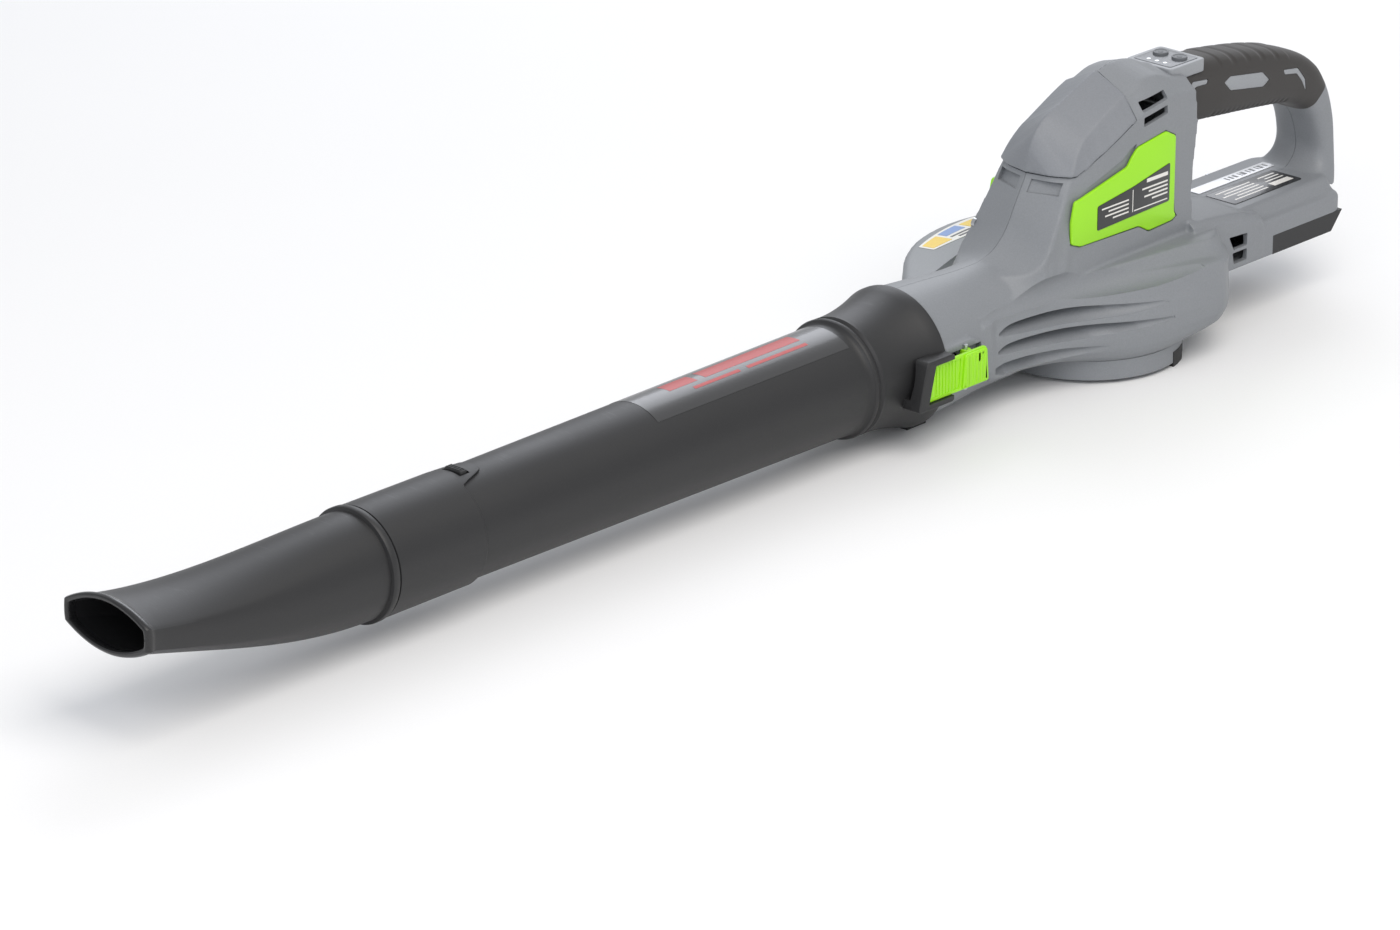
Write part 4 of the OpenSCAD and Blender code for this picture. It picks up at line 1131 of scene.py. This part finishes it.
@dataclass
class Nozzle:
    """The flattened nozzle: a sleeve with a snap tongue, a body that flattens and a rolled lip."""

    tube: Tube
    mouth_x: float = node_box("nozzle")[1][0]
    sleeve_len: float = 69.0
    sleeve_r: float = 31.2
    wall: float = 2.0
    rise: float = 19.5
    half_w: float = 30.3
    half_h: float = 14.7
    end_h: float = 5.7
    wall_share: float = 0.8
    end_bulge: float = 0.5
    tongue: float = 20.0
    body_len: float = 168.0
    run_fit: float = 0.06

    def mouth(self, angle: float, inset: float) -> Pair:
        """A point of the lens-shaped mouth."""
        width = self.half_w - inset
        end = self.end_h - inset * 0.6
        bow = self.half_h - self.end_h - inset * 0.4
        c = math.cos(angle) / self.wall_share
        s = math.sin(angle) / math.sqrt(1 - self.wall_share ** 2)
        if abs(c) < 1:
            return (width - self.end_bulge) * c, math.copysign(end + bow * (1 - c * c), math.sin(angle))
        return math.copysign(width - self.end_bulge * s * s, c), end * s

    def section(self, x: float, radius: float, inset: float) -> Ring:
        """A ring of the body, round at the sleeve and lens-shaped at the mouth."""
        start = self.mouth_x - self.body_len
        t = min(max((x - start) / (self.mouth_x - start), 0.0), 1.0)
        share = smooth_step(t)
        ring = []
        for i in range(96):
            angle = math.tau * (i + 0.5) / 96
            flat = self.mouth(angle, inset)
            y = (radius - inset) * math.cos(angle) * (1 - share) + flat[0] * share
            z = (radius - inset) * math.sin(angle) * (1 - share) + flat[1] * share
            ring.append((x, y, self.tube.axis_z + self.rise * t * t + z))
        return ring

    def round_ring(self, x: float, radius: Callable[[float], float], reach: float) -> Ring:
        """A ring of the sleeve whose top reaches back as a tongue."""
        ring = []
        for i in range(96):
            angle = math.tau * (i + 0.5) / 96
            away = abs(math.degrees(angle) - 90)
            here = x - reach * (1 - smooth_step((away - 10) / 17))
            r = radius(here)
            ring.append((here, r * math.cos(angle), self.tube.axis_z + r * math.sin(angle)))
        return ring

    def build(self) -> None:
        """Models the nozzle as one closed wall."""
        front = self.mouth_x - self.body_len
        rear = front - self.sleeve_len
        body = self.sleeve_r - 1.5

        def bore(x: float) -> float:
            """Radius of the sleeve's bore."""
            return self.tube.radius(x) + self.run_fit

        def flat(x: float) -> float:
            """Radius of the sleeve's outside."""
            return self.sleeve_r

        rings = [self.round_ring(rear, lambda x: bore(x) + 0.5, self.tongue),
                 self.round_ring(rear + 0.1, lambda x: self.sleeve_r - 0.5, self.tongue),
                 self.round_ring(rear + 0.8, flat, self.tongue)]
        for share in (0.75, 0.5, 0.25, 0.0):
            rings.append(self.round_ring(rear + 3 - 2 * share, flat, self.tongue * share))
        for x, radius in ((-8, 0.0), (-6.2, 0.0), (-5.9, -0.7), (-5.1, -0.7), (-4.8, 0.3), (-4.3, 0.6),
                          (-1.2, 0.6), (-0.6, 0.3), (-0.3, -0.6), (0.0, -1.5)):
            rings.append(self.section(front + x, self.sleeve_r + radius, 0))
        for i in range(1, 26):
            rings.append(self.section(front + (self.mouth_x - 7 - front) * i / 25, body, 0))
        for back, inset in ((5.6, -0.2), (4.3, -0.7), (2.9, -1.0), (1.6, -0.9), (0.6, -0.4), (0.1, 0.3),
                            (0.0, 1.0), (0.4, 1.9), (1.5, 2.5), (3, 2.6), (6, 2.2)):
            rings.append(self.section(self.mouth_x - back, body, inset))
        for i in range(24, 0, -1):
            rings.append(self.section(front + (self.mouth_x - 8 - front) * i / 25, body, self.wall))
        end = self.tube.end_x
        rings.append(self.section(end + 1.0, body, self.wall))
        rings.append(self.round_ring(end + 0.1, lambda x: body - self.wall, 0))
        rings.append(self.round_ring(end, bore, 0))
        rings.append(self.round_ring(rear + 6, bore, 0))
        for share in (0.25, 0.5, 0.75, 1.0):
            rings.append(self.round_ring(rear + 3 - 2.6 * share, bore, self.tongue * share))
        made = loft("nozzle_shell", rings, cyclic=True)
        low, high = self.tube.lug_box()
        combine(made, block("window", (low[0] - 1.1, low[1] - 0.9, low[2] + 0.4),
                            (high[0] + 1.4, high[1] + 0.9, 90), 0.4),
                Fuse.CUT)
        finish(made, TUBE_BLACK, stands_for=["nozzle"], angle=32)
        self.polish(made)

    def polish(self, made: Object) -> None:
        """Gives the rolled lip its polished finish."""
        made.data.materials.append(LIP_BLACK.material())
        for face in made.data.polygons:
            if face.center.x > (self.mouth_x - 6.0) * MM:
                face.material_index = 1


@dataclass
class Latch:
    """One lime rocker latch, drawn on the left and mirrored for the right."""

    side: int
    node: str
    rib_pitch: float = 3.1

    def build(self) -> None:
        """Models the latch."""
        low, high = node_box("latch_left")
        face, top = 42.0, high[1]
        slant = 5.0
        outline = [(low[0], low[2]), (high[0] + 0.4, low[2]), (high[0] + 0.4 - slant, high[2]),
                   (low[0] + 1.5, high[2])]
        made = plate("latch", rounded(outline, 1.8), face, top - 1.4, edge=0.35)
        grip = [(low[0] + 0.5, low[2] + 0.6), (160.5, low[2] + 0.6), (158.5, high[2] - 0.6),
                (low[0] + 2, high[2] - 0.6)]
        combine(made, plate("grip", rounded(grip, 1.6), face + 0.5, top - 0.2, edge=0.5), Fuse.ADD)
        combine(made, plate("dish", grown(rounded(grip, 1.6), -1.7), top - 0.9, top + 3), Fuse.CUT)
        for i in range(6):
            x = low[0] + 3.4 + i * self.rib_pitch
            combine(made, block("rib", (x, top - 1.6, low[2] + 1.4), (x + 1.5, top + 0.1, high[2] - 1.4),
                                0.35), Fuse.ADD)
        inner = [(162.5, low[2] + 1.8), (high[0] - 2.2, low[2] + 1.8), (high[0] - 6.2, high[2] - 1.8),
                 (161, high[2] - 1.8)]
        combine(made, plate("window", rounded(inner, 1.0), top - 1.9, top + 3), Fuse.CUT)
        for i in range(7):
            x = 164.6 + i * 2.7
            combine(made, block("fine_rib", (x, face + 0.4, low[2] + 1.2),
                                (x + 0.9, top - 1.5, high[2] - 1.2), 0.15),
                    Fuse.ADD)
        pin = node_box("latch_pins")
        radius = (pin[1][0] - pin[0][0]) / 2
        middle = (pin[0][0] + pin[1][0]) / 2
        place = pin[1][1] - radius
        combine(made, drum("barrel", (middle, place, low[2]), radius + 1.6, high[2] - low[2], Axis.Z, 32),
                Fuse.ADD)
        combine(made, block("web", (middle - 2, place, low[2]), (middle + 2, face + 1, high[2])), Fuse.ADD)
        hook = [(high[0] - 4, low[2] + 0.1), (high[0] - 0.3, low[2] + 0.1),
                (high[0] - 0.3 - slant, high[2] - 0.1), (high[0] - 4 - slant, high[2] - 0.1)]
        combine(made, plate("hook", hook, place + 0.6, face + 0.6), Fuse.ADD)
        combine(made, drum("bore", (middle, place, low[2] - 10), radius + 0.05, 60, Axis.Z, 32), Fuse.CUT)
        spring = node_box("latch_springs")
        combine(made, block("spring_room", (middle - 5, place - 5, spring[0][2] - 0.7),
                            (middle + 5, face - 0.3, spring[1][2] + 0.7)), Fuse.CUT)
        if self.side < 0:
            other = twin(made, "latch_other", mirror=True)
            bpy.data.objects.remove(made)
            made = other
        made.name = self.node + "_shell"
        finish(made, LIME, body=self.body(), stands_for=[self.node], angle=35)

    def body(self) -> str:
        """The body that the latch turns with."""
        return "left_latch" if self.side > 0 else "right_latch"


# ---------- handle and controls ----------


@dataclass
class Grip:
    """The rubber sleeve of the handle with raised pads, underside ridges and light grey inserts."""

    casing: Casing
    thick: float = 2.45
    pad_pitch: float = 13.5
    pads: int = 5
    ridge_pitch: float = 4.6
    inserts: tuple = (
        ((-101.5, 142), (-107, 144.5), (-137, 140), (-143.5, 134), (-138, 131), (-107.5, 136)),
        ((-66, 140), (-68, 144.5), (-73, 149), (-86.5, 147.5), (-85.5, 145), (-76, 145.5), (-70, 143)),
        ((-157.5, 136.5), (-171, 134.5), (-178, 126), (-179, 119), (-175, 126), (-170, 131.5),
         (-158.5, 133.5)))

    def relief(self, angle: float, x: float) -> float:
        """Height of the pads on top and of the ridges underneath."""
        top = smooth_step((math.sin(angle) - 0.55) / 0.2)
        under = smooth_step((-math.sin(angle) - 0.45) / 0.25)
        along = (-100 - x) / self.pad_pitch
        share = along % 1.0
        pad = smooth_step(share / 0.12) * smooth_step((0.86 - share) / 0.12) if 0 < along < self.pads else 0.0
        ridge = 0.5 - 0.5 * math.cos(math.tau * x / self.ridge_pitch) if -165 < x < -92 else 0.0
        return 0.55 * top * pad - 0.45 * under * ridge

    def build(self) -> None:
        """Models the sleeve and its inserts."""
        fine = spline(self.casing.grips, 34)
        outer = [self.casing.bar_ring(s, 0.0, 72, self.relief) for s in fine]
        inner = [self.casing.bar_ring(s, self.thick, 72) for s in reversed(spline(self.casing.grips, 6))]
        sleeve = loft("grip_rubber", outer + inner, cyclic=True)
        low, high = node_box("panel_frame")
        combine(sleeve, block("panel_room", (low[0] - 0.1, low[1] - 0.1, low[2]),
                              (high[0] + 0.1, high[1] + 0.1, 200)),
                Fuse.CUT)
        for side in (1, -1):
            for number, outline in enumerate(self.inserts):
                reach = (14.5 * side, 24.0 * side)
                combine(sleeve, plate("insert_room", grown(rounded(outline, 0.8, 2), 0.25), *sorted(reach)),
                        Fuse.CUT)
                insert = plate(f"grip_insert_{number}", rounded(outline, 0.8, 2), *sorted(reach))
                combine(insert, self.casing.bar("skin", self.casing.grips, 0.2), Fuse.KEEP)
                combine(insert, self.casing.bar("core", self.casing.grips, self.thick + 0.05), Fuse.CUT)
                soft_edges(insert, 0.25, 2)
                finish(insert, TRIM_GREY,
                       stands_for=["grip_trim"] if side > 0 and number == 0 else ())
        finish(sleeve, RUBBER, stands_for=["grip_sleeve"], angle=40)


@dataclass
class Panel:
    """The control panel on the tower's top: bezel, printed window, two keys and three light dots."""

    x: float = -68.0
    half_len: float = 13.0
    half_w: float = 14.0
    top: float = node_box("control_panel")[1][2]
    key_r: float = 4.6

    def area(self, margin: float, radius: float) -> list[Pair]:
        """A rounded rectangle round the panel."""
        a, b = self.half_len + margin, self.half_w + margin
        return rounded([(self.x - a, -b), (self.x + a, -b), (self.x + a, b), (self.x - a, b)], radius, 6)

    def build(self) -> None:
        """Models the panel's pieces."""
        low, high = node_box("panel_frame")
        bezel = plate("panel_bezel", self.area(3, 3.5), low[2], high[2], Axis.Z, edge=0.7)
        combine(bezel, plate("opening", self.area(0.0, 2.0), low[2] - 1, high[2] + 1, Axis.Z), Fuse.CUT)
        finish(bezel, TRIM_GREY, stands_for=["panel_frame"])
        low, high = node_box("control_panel")
        window = plate("panel_window", self.area(-0.02, 2.0), low[2], high[2], Axis.Z, edge=0.3)
        lens_low, lens_high = node_box("led_lenses")
        lens_r = (lens_high[0] - lens_low[0]) / 2
        lens_x = (lens_low[0] + lens_high[0]) / 2
        for step in (-1, 0, 1):
            y = step * (lens_high[1] - lens_r)
            combine(window, drum("lens_hole", (lens_x, y, low[2] - 1), lens_r, 5, Axis.Z, 32), Fuse.CUT)
            dome = [(0, lens_low[2]), (lens_r - 0.02, lens_low[2]), (lens_r - 0.02, lens_high[2] - 0.25),
                    (lens_r * 0.7, lens_high[2] - 0.08), (0, lens_high[2])]
            lens = turned(f"led_dot_{step + 1}", dome, Axis.Z, (lens_x, y, 0), 32, closed=False)
            finish(lens, LED, stands_for=["led_lenses"] if step == 0 else ())
        for node in ("power_button", "speed_button"):
            self.key(window, node)
        finish(window, PANEL, stands_for=["control_panel"])

    def key(self, window: Object, node: str) -> None:
        """Models one round key with its raised rim and dished top, and cuts its hole."""
        low, high = node_box(node)
        x, y = (low[0] + high[0]) / 2, (low[1] + high[1]) / 2
        r, top = self.key_r, high[2]
        combine(window, drum("key_hole", (x, y, self.top - 9), r + 0.06, 12, Axis.Z, 48), Fuse.CUT)
        profile = [(0, low[2]), (r + 0.85, low[2]), (r + 0.9, self.top - 2.8), (r, self.top - 2.7),
                   (r, top - 0.5), (r - 0.15, top - 0.15), (r - 0.5, top), (r - 0.9, top),
                   (r - 1.2, top - 0.25), (r - 1.7, top - 0.35), (1.6, top - 0.55), (1.3, top - 0.3),
                   (0.9, top - 0.2), (0, top - 0.2)]
        cap = turned(node + "_cap", profile, Axis.Z, (x, y, 0), 64, closed=False)
        body = "power_key" if node == "power_button" else "speed_key"
        finish(cap, BUTTON, body=body, stands_for=[node], angle=30)


# ---------- badges and labels ----------


@dataclass
class Labels:
    """Lime badges, rating labels and the films on the deck and on the fan casing, with generic print."""

    housing: Housing
    thin: float = 0.06
    film_bow: float = 12.5
    film_low: Pair = node_box("top_label")[0][:2]
    film_high: Pair = node_box("top_label")[1][:2]

    def bars(self, low: Point, high: Point, axis: Axis, rows: Sequence[Sequence[float]], look: Finish) -> None:
        """Prints plain bars on a flat face.

        Args:
            low: Lowest corner of the face.
            high: Highest corner of the face.
            axis: Direction that the face looks along.
            rows: Start and end of each bar as shares of the face's two directions.
            look: The ink.
        """
        first, second = [i for i in range(3) if i != axis.value]
        for a, b, c, d in rows:
            start, stop = list(low), list(high)
            start[first] = low[first] + (high[first] - low[first]) * a
            stop[first] = low[first] + (high[first] - low[first]) * b
            start[second] = low[second] + (high[second] - low[second]) * c
            stop[second] = low[second] + (high[second] - low[second]) * d
            finish(block("print", tuple(start), tuple(stop)), look)

    def badge(self, side: int, node: str) -> None:
        """Models a lime badge with a bevelled border."""
        low, high = node_box("badge_left")
        made = plate("badge", rounded(self.housing.badge, 1.6), low[1], high[1])
        soft_edges(made, 0.8, 3, angle=60)
        if side < 0:
            other = twin(made, "badge_other", mirror=True)
            bpy.data.objects.remove(made)
            made = other
        made.name = node + "_plate"
        finish(made, LIME, stands_for=[node])

    def rating(self, side: int, node: str) -> None:
        """Models the black label on a badge with its dividing line and plain print bars."""
        low, high = node_box(node)
        outer = high[1] if side > 0 else low[1]
        outline = [(29.5, 102.5), (-1.5, 106.5), (-35, 113), (-35, 90), (29.5, 88)]
        made = plate("rating_film", rounded(outline, 1.2), low[1], high[1], edge=0.12)
        finish(made, LABEL_BLACK, stands_for=[node])
        face = sorted((outer, outer + side * self.thin))
        rows = [(-33, -3, 91.6, 92.3), (-33, -14, 106.2, 108.4), (-33, -10, 102.4, 103.4),
                (-33, -16, 100.0, 101.0), (-33, -12, 97.6, 98.6), (-33, -19, 95.2, 96.2),
                (-2.0, -1.4, 91.5, 104.8), (2, 26, 99.4, 100.3), (2, 20, 97, 97.9), (2, 23, 94.6, 95.5),
                (2, 16, 92.2, 93.1)]
        for a, b, c, d in rows:
            finish(block("rating_print", (a, face[0], c), (b, face[1], d)), LABEL_WHITE)

    def deck(self) -> None:
        """Models the dark label and the silver strip on the battery deck."""
        low, high = node_box("deck_label")
        outline = rounded([(low[0], low[1]), (high[0], low[1]), (high[0], high[1]), (low[0], high[1])], 2)
        finish(plate("deck_film", outline, low[2], high[2], Axis.Z, edge=0.1), LABEL_BLACK,
               stands_for=["deck_label"])
        face_low, face_high = (low[0], low[1], high[2]), (high[0], high[1], high[2] + self.thin)
        rows = [(0.06, 0.34, 0.62, 0.84)] + [(0.42, 0.42 + w, 0.16 + i * 0.15, 0.21 + i * 0.15)
                                             for i, w in enumerate((0.5, 0.44, 0.52, 0.38, 0.48))]
        rows += [(0.06, 0.3, 0.16, 0.21), (0.06, 0.26, 0.31, 0.36), (0.06, 0.32, 0.46, 0.51)]
        self.bars(face_low, face_high, Axis.Z, rows, LABEL_WHITE)
        low, high = node_box("deck_strip")
        outline = rounded([(low[0], low[1]), (high[0], low[1]), (high[0], high[1]), (low[0], high[1])], 1)
        finish(plate("deck_strip_film", outline, low[2], high[2], Axis.Z, edge=0.1), LABEL_SILVER,
               stands_for=["deck_strip"])
        rows = [(0.05 + i * 0.055, 0.05 + i * 0.055 + w, 0.25, 0.75)
                for i, w in enumerate((0.02, 0.035, 0.015, 0.03, 0.02, 0.04, 0.015, 0.03, 0.025, 0.02))]
        self.bars((low[0], low[1], high[2]), (high[0], high[1], high[2] + self.thin), Axis.Z, rows,
                  LABEL_BLACK)

    def draped(self, name: str, low: Pair, high: Pair, lift: float, look: Finish,
               stands_for: Sequence[str] = ()) -> None:
        """Lays a thin film on the fan casing from above.

        Args:
            name: The film's name.
            low: Lowest X and Y.
            high: Highest X and Y.
            lift: Height above the casing.
            look: The film's finish.
            stands_for: Frame nodes that the film replaces.
        """
        deselect()
        bpy.ops.mesh.primitive_grid_add(x_subdivisions=24, y_subdivisions=12, size=1.0)
        film = bpy.context.object
        film.name = film.data.name = name
        casing = bpy.data.objects["housing_shell_right"]
        for vertex in film.data.vertices:
            x = (low[0] + high[0]) / 2 + vertex.co.x * (high[0] - low[0])
            y = (low[1] + high[1]) / 2 + vertex.co.y * (high[1] - low[1])
            share = (x - self.film_low[0]) / (self.film_high[0] - self.film_low[0])
            deep = self.film_high[1] - self.film_low[1]
            y = self.film_high[1] + (y - self.film_high[1]) * (1 - (1.5 + self.film_bow * share ** 2) / deep)
            hit, place, _, _ = casing.ray_cast(Vector((x, y, 100)) * MM, Vector((0, 0, -1)))
            vertex.co = place if hit else Vector((x, y, 57)) * MM
        shifted(film, (0, 0, lift))
        modify(film, "SMOOTH", factor=0.5, iterations=4)
        modify(film, "SOLIDIFY", thickness=0.12 * MM, offset=1.0)
        finish(film, look, stands_for=stands_for)

    def build(self) -> None:
        """Models every badge and label."""
        for side, name in ((1, "left"), (-1, "right")):
            self.badge(side, f"badge_{name}")
            self.rating(side, f"rating_label_{name}")
        self.deck()
        low, high = self.film_low, self.film_high
        self.draped("casing_film", low, high, 0.12, LABEL_WHITE, ["top_label"])
        wide, deep = high[0] - low[0], high[1] - low[1]
        for a, b, c, d, look in ((0.04, 0.3, 0.15, 0.85, PRINT_YELLOW), (0.34, 0.64, 0.12, 0.5, PRINT_BLUE),
                                 (0.34, 0.64, 0.62, 0.7, LABEL_BLACK), (0.34, 0.58, 0.78, 0.86, LABEL_BLACK),
                                 (0.68, 0.96, 0.14, 0.86, PRINT_YELLOW)):
            self.draped("casing_print", (low[0] + wide * a, low[1] + deep * c),
                        (low[0] + wide * b, low[1] + deep * d), 0.26, look)


# ---------- pieces kept from the frame, and the stage ----------


@dataclass
class Insides:
    """Frame nodes that keep their shape and only get a finish."""

    looks: tuple = (
        ("tube_seal", SEAL, "seal_rubber"), ("rear_foot_left", SEAL, "rubber"),
        ("rear_foot_right", SEAL, "rubber"), ("front_foot", SEAL, "rubber"),
        ("intake_bowl", CASE_GREY, "housing"), ("intake_grille", NYLON_BLACK, "black_plastic"),
        ("intake_cone", NYLON_DARK, "dark_plastic"), ("scroll_roof", NYLON_DARK, "dark_plastic"),
        ("battery_rails", NYLON_BLACK, "black_plastic"), ("terminal_block", NYLON_BLACK, "black_plastic"),
        ("terminal_blades", BRASS, "brass"), ("latch_pins", ZINC, "steel"),
        ("latch_springs", ZINC, "steel"), ("housing_screws", ZINC, "steel"),
        ("motor_can", CAN_STEEL, "can_steel"), ("motor_magnets", FERRITE, "ferrite"),
        ("motor_end_cap", NYLON_BLACK, "black_plastic"), ("motor_brushes", CARBON, "carbon"),
        ("armature", COPPER, "copper"), ("motor_shaft", GROUND_STEEL, "steel"),
        ("lower_bearing", GROUND_STEEL, "steel"), ("upper_bearing", GROUND_STEEL, "steel"),
        ("fan_wheel", NYLON_BLACK, "black_plastic"), ("fan_nut", ZINC, "steel"),
        ("motor_screws", ZINC, "steel"), ("control_board", BOARD, "board"),
        ("power_leads", WIRE_RED, "wire"), ("power_spring", ZINC, "steel"), ("speed_spring", ZINC, "steel"))

    def dress(self) -> None:
        """Puts the finishes on."""
        known = dict((name, (look, slot)) for name, look, slot in self.looks)
        for name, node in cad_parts.items():
            if node.hide_render:
                continue
            look, slot = known.get(name, (NYLON_BLACK, "black_plastic"))
            if name not in known:
                LOG.info("no finish is listed for %s", name)
            node.data.materials.clear()
            node.data.materials.append(look.material())
            LOG.info("dressed %s in %s", name, look.name)


@dataclass
class Studio:
    """A pale floor, soft lights and the main camera."""

    eye: Point = (2.6303, 2.1469, 1.2660)
    ahead: Point = (-0.6805, -0.6341, -0.3673)
    lens: float = 160.51
    floor_half: float = 3.0

    def floor(self) -> None:
        """Lays the floor."""
        deselect()
        bpy.ops.mesh.primitive_plane_add(size=2 * self.floor_half)
        ground = bpy.context.object
        ground.name = "studio_floor"
        ground.data.materials.append(FLOOR_PAPER.material())

    def light(self, name: str, place: Point, target: Point, size: float, power: float, tint: str) -> None:
        """Adds a square soft light.

        Args:
            name: The light's name.
            place: Where it stands, in metres.
            target: Where it points.
            size: Length of its sides in metres.
            power: Its power in watts.
            tint: Its colour.
        """
        deselect()
        bpy.ops.object.light_add(type="AREA", location=place)
        lamp = bpy.context.object
        lamp.name = name
        lamp.data.size = size
        lamp.data.energy = power
        lamp.data.color = linear(tint)[:3]
        lamp.rotation_euler = (Vector(target) - Vector(place)).to_track_quat("-Z", "Y").to_euler()

    def build(self) -> None:
        """Sets the floor, the lights, the surrounding light and the camera."""
        self.floor()
        middle = (0.2, 0.0, 0.08)
        self.light("key", (0.4, 1.2, 2.0), middle, 1.8, 30, "#fffaf4")
        self.light("front", (2.2, 0.9, 1.2), middle, 1.4, 14, "#f6f8ff")
        self.light("rim", (-1.3, -1.2, 1.3), middle, 1.2, 14, "#f4f7ff")
        world = bpy.data.worlds.new("studio_air")
        bpy.context.scene.world = world
        world.use_nodes = True
        sky = world.node_tree.nodes["Background"]
        sky.inputs["Color"].default_value = linear("#e9ebee")
        sky.inputs["Strength"].default_value = 0.75
        deselect()
        bpy.ops.object.camera_add(location=self.eye)
        camera = bpy.context.object
        camera.name = "photo_camera"
        camera.rotation_euler = Vector(self.ahead).to_track_quat("-Z", "Y").to_euler()
        camera.data.lens = self.lens
        camera.data.sensor_width = 36.0
        camera.data.clip_start = 0.1
        bpy.context.scene.camera = camera
        bpy.context.scene.view_settings.view_transform = "Standard"


def main() -> None:
    """Builds the blower piece by piece and finishes the frame."""
    casing = Casing()
    housing = Housing(casing)
    housing.build()
    Hood(casing, housing).build()
    tube = Tube(casing.axis_z, casing.outlet_x)
    tube.build()
    Nozzle(tube).build()
    Latch(1, "latch_left").build()
    Latch(-1, "latch_right").build()
    Grip(casing).build()
    Panel().build()
    Labels(housing).build()
    Insides().dress()
    Studio().build()


if __name__ == "__main__":
    main()
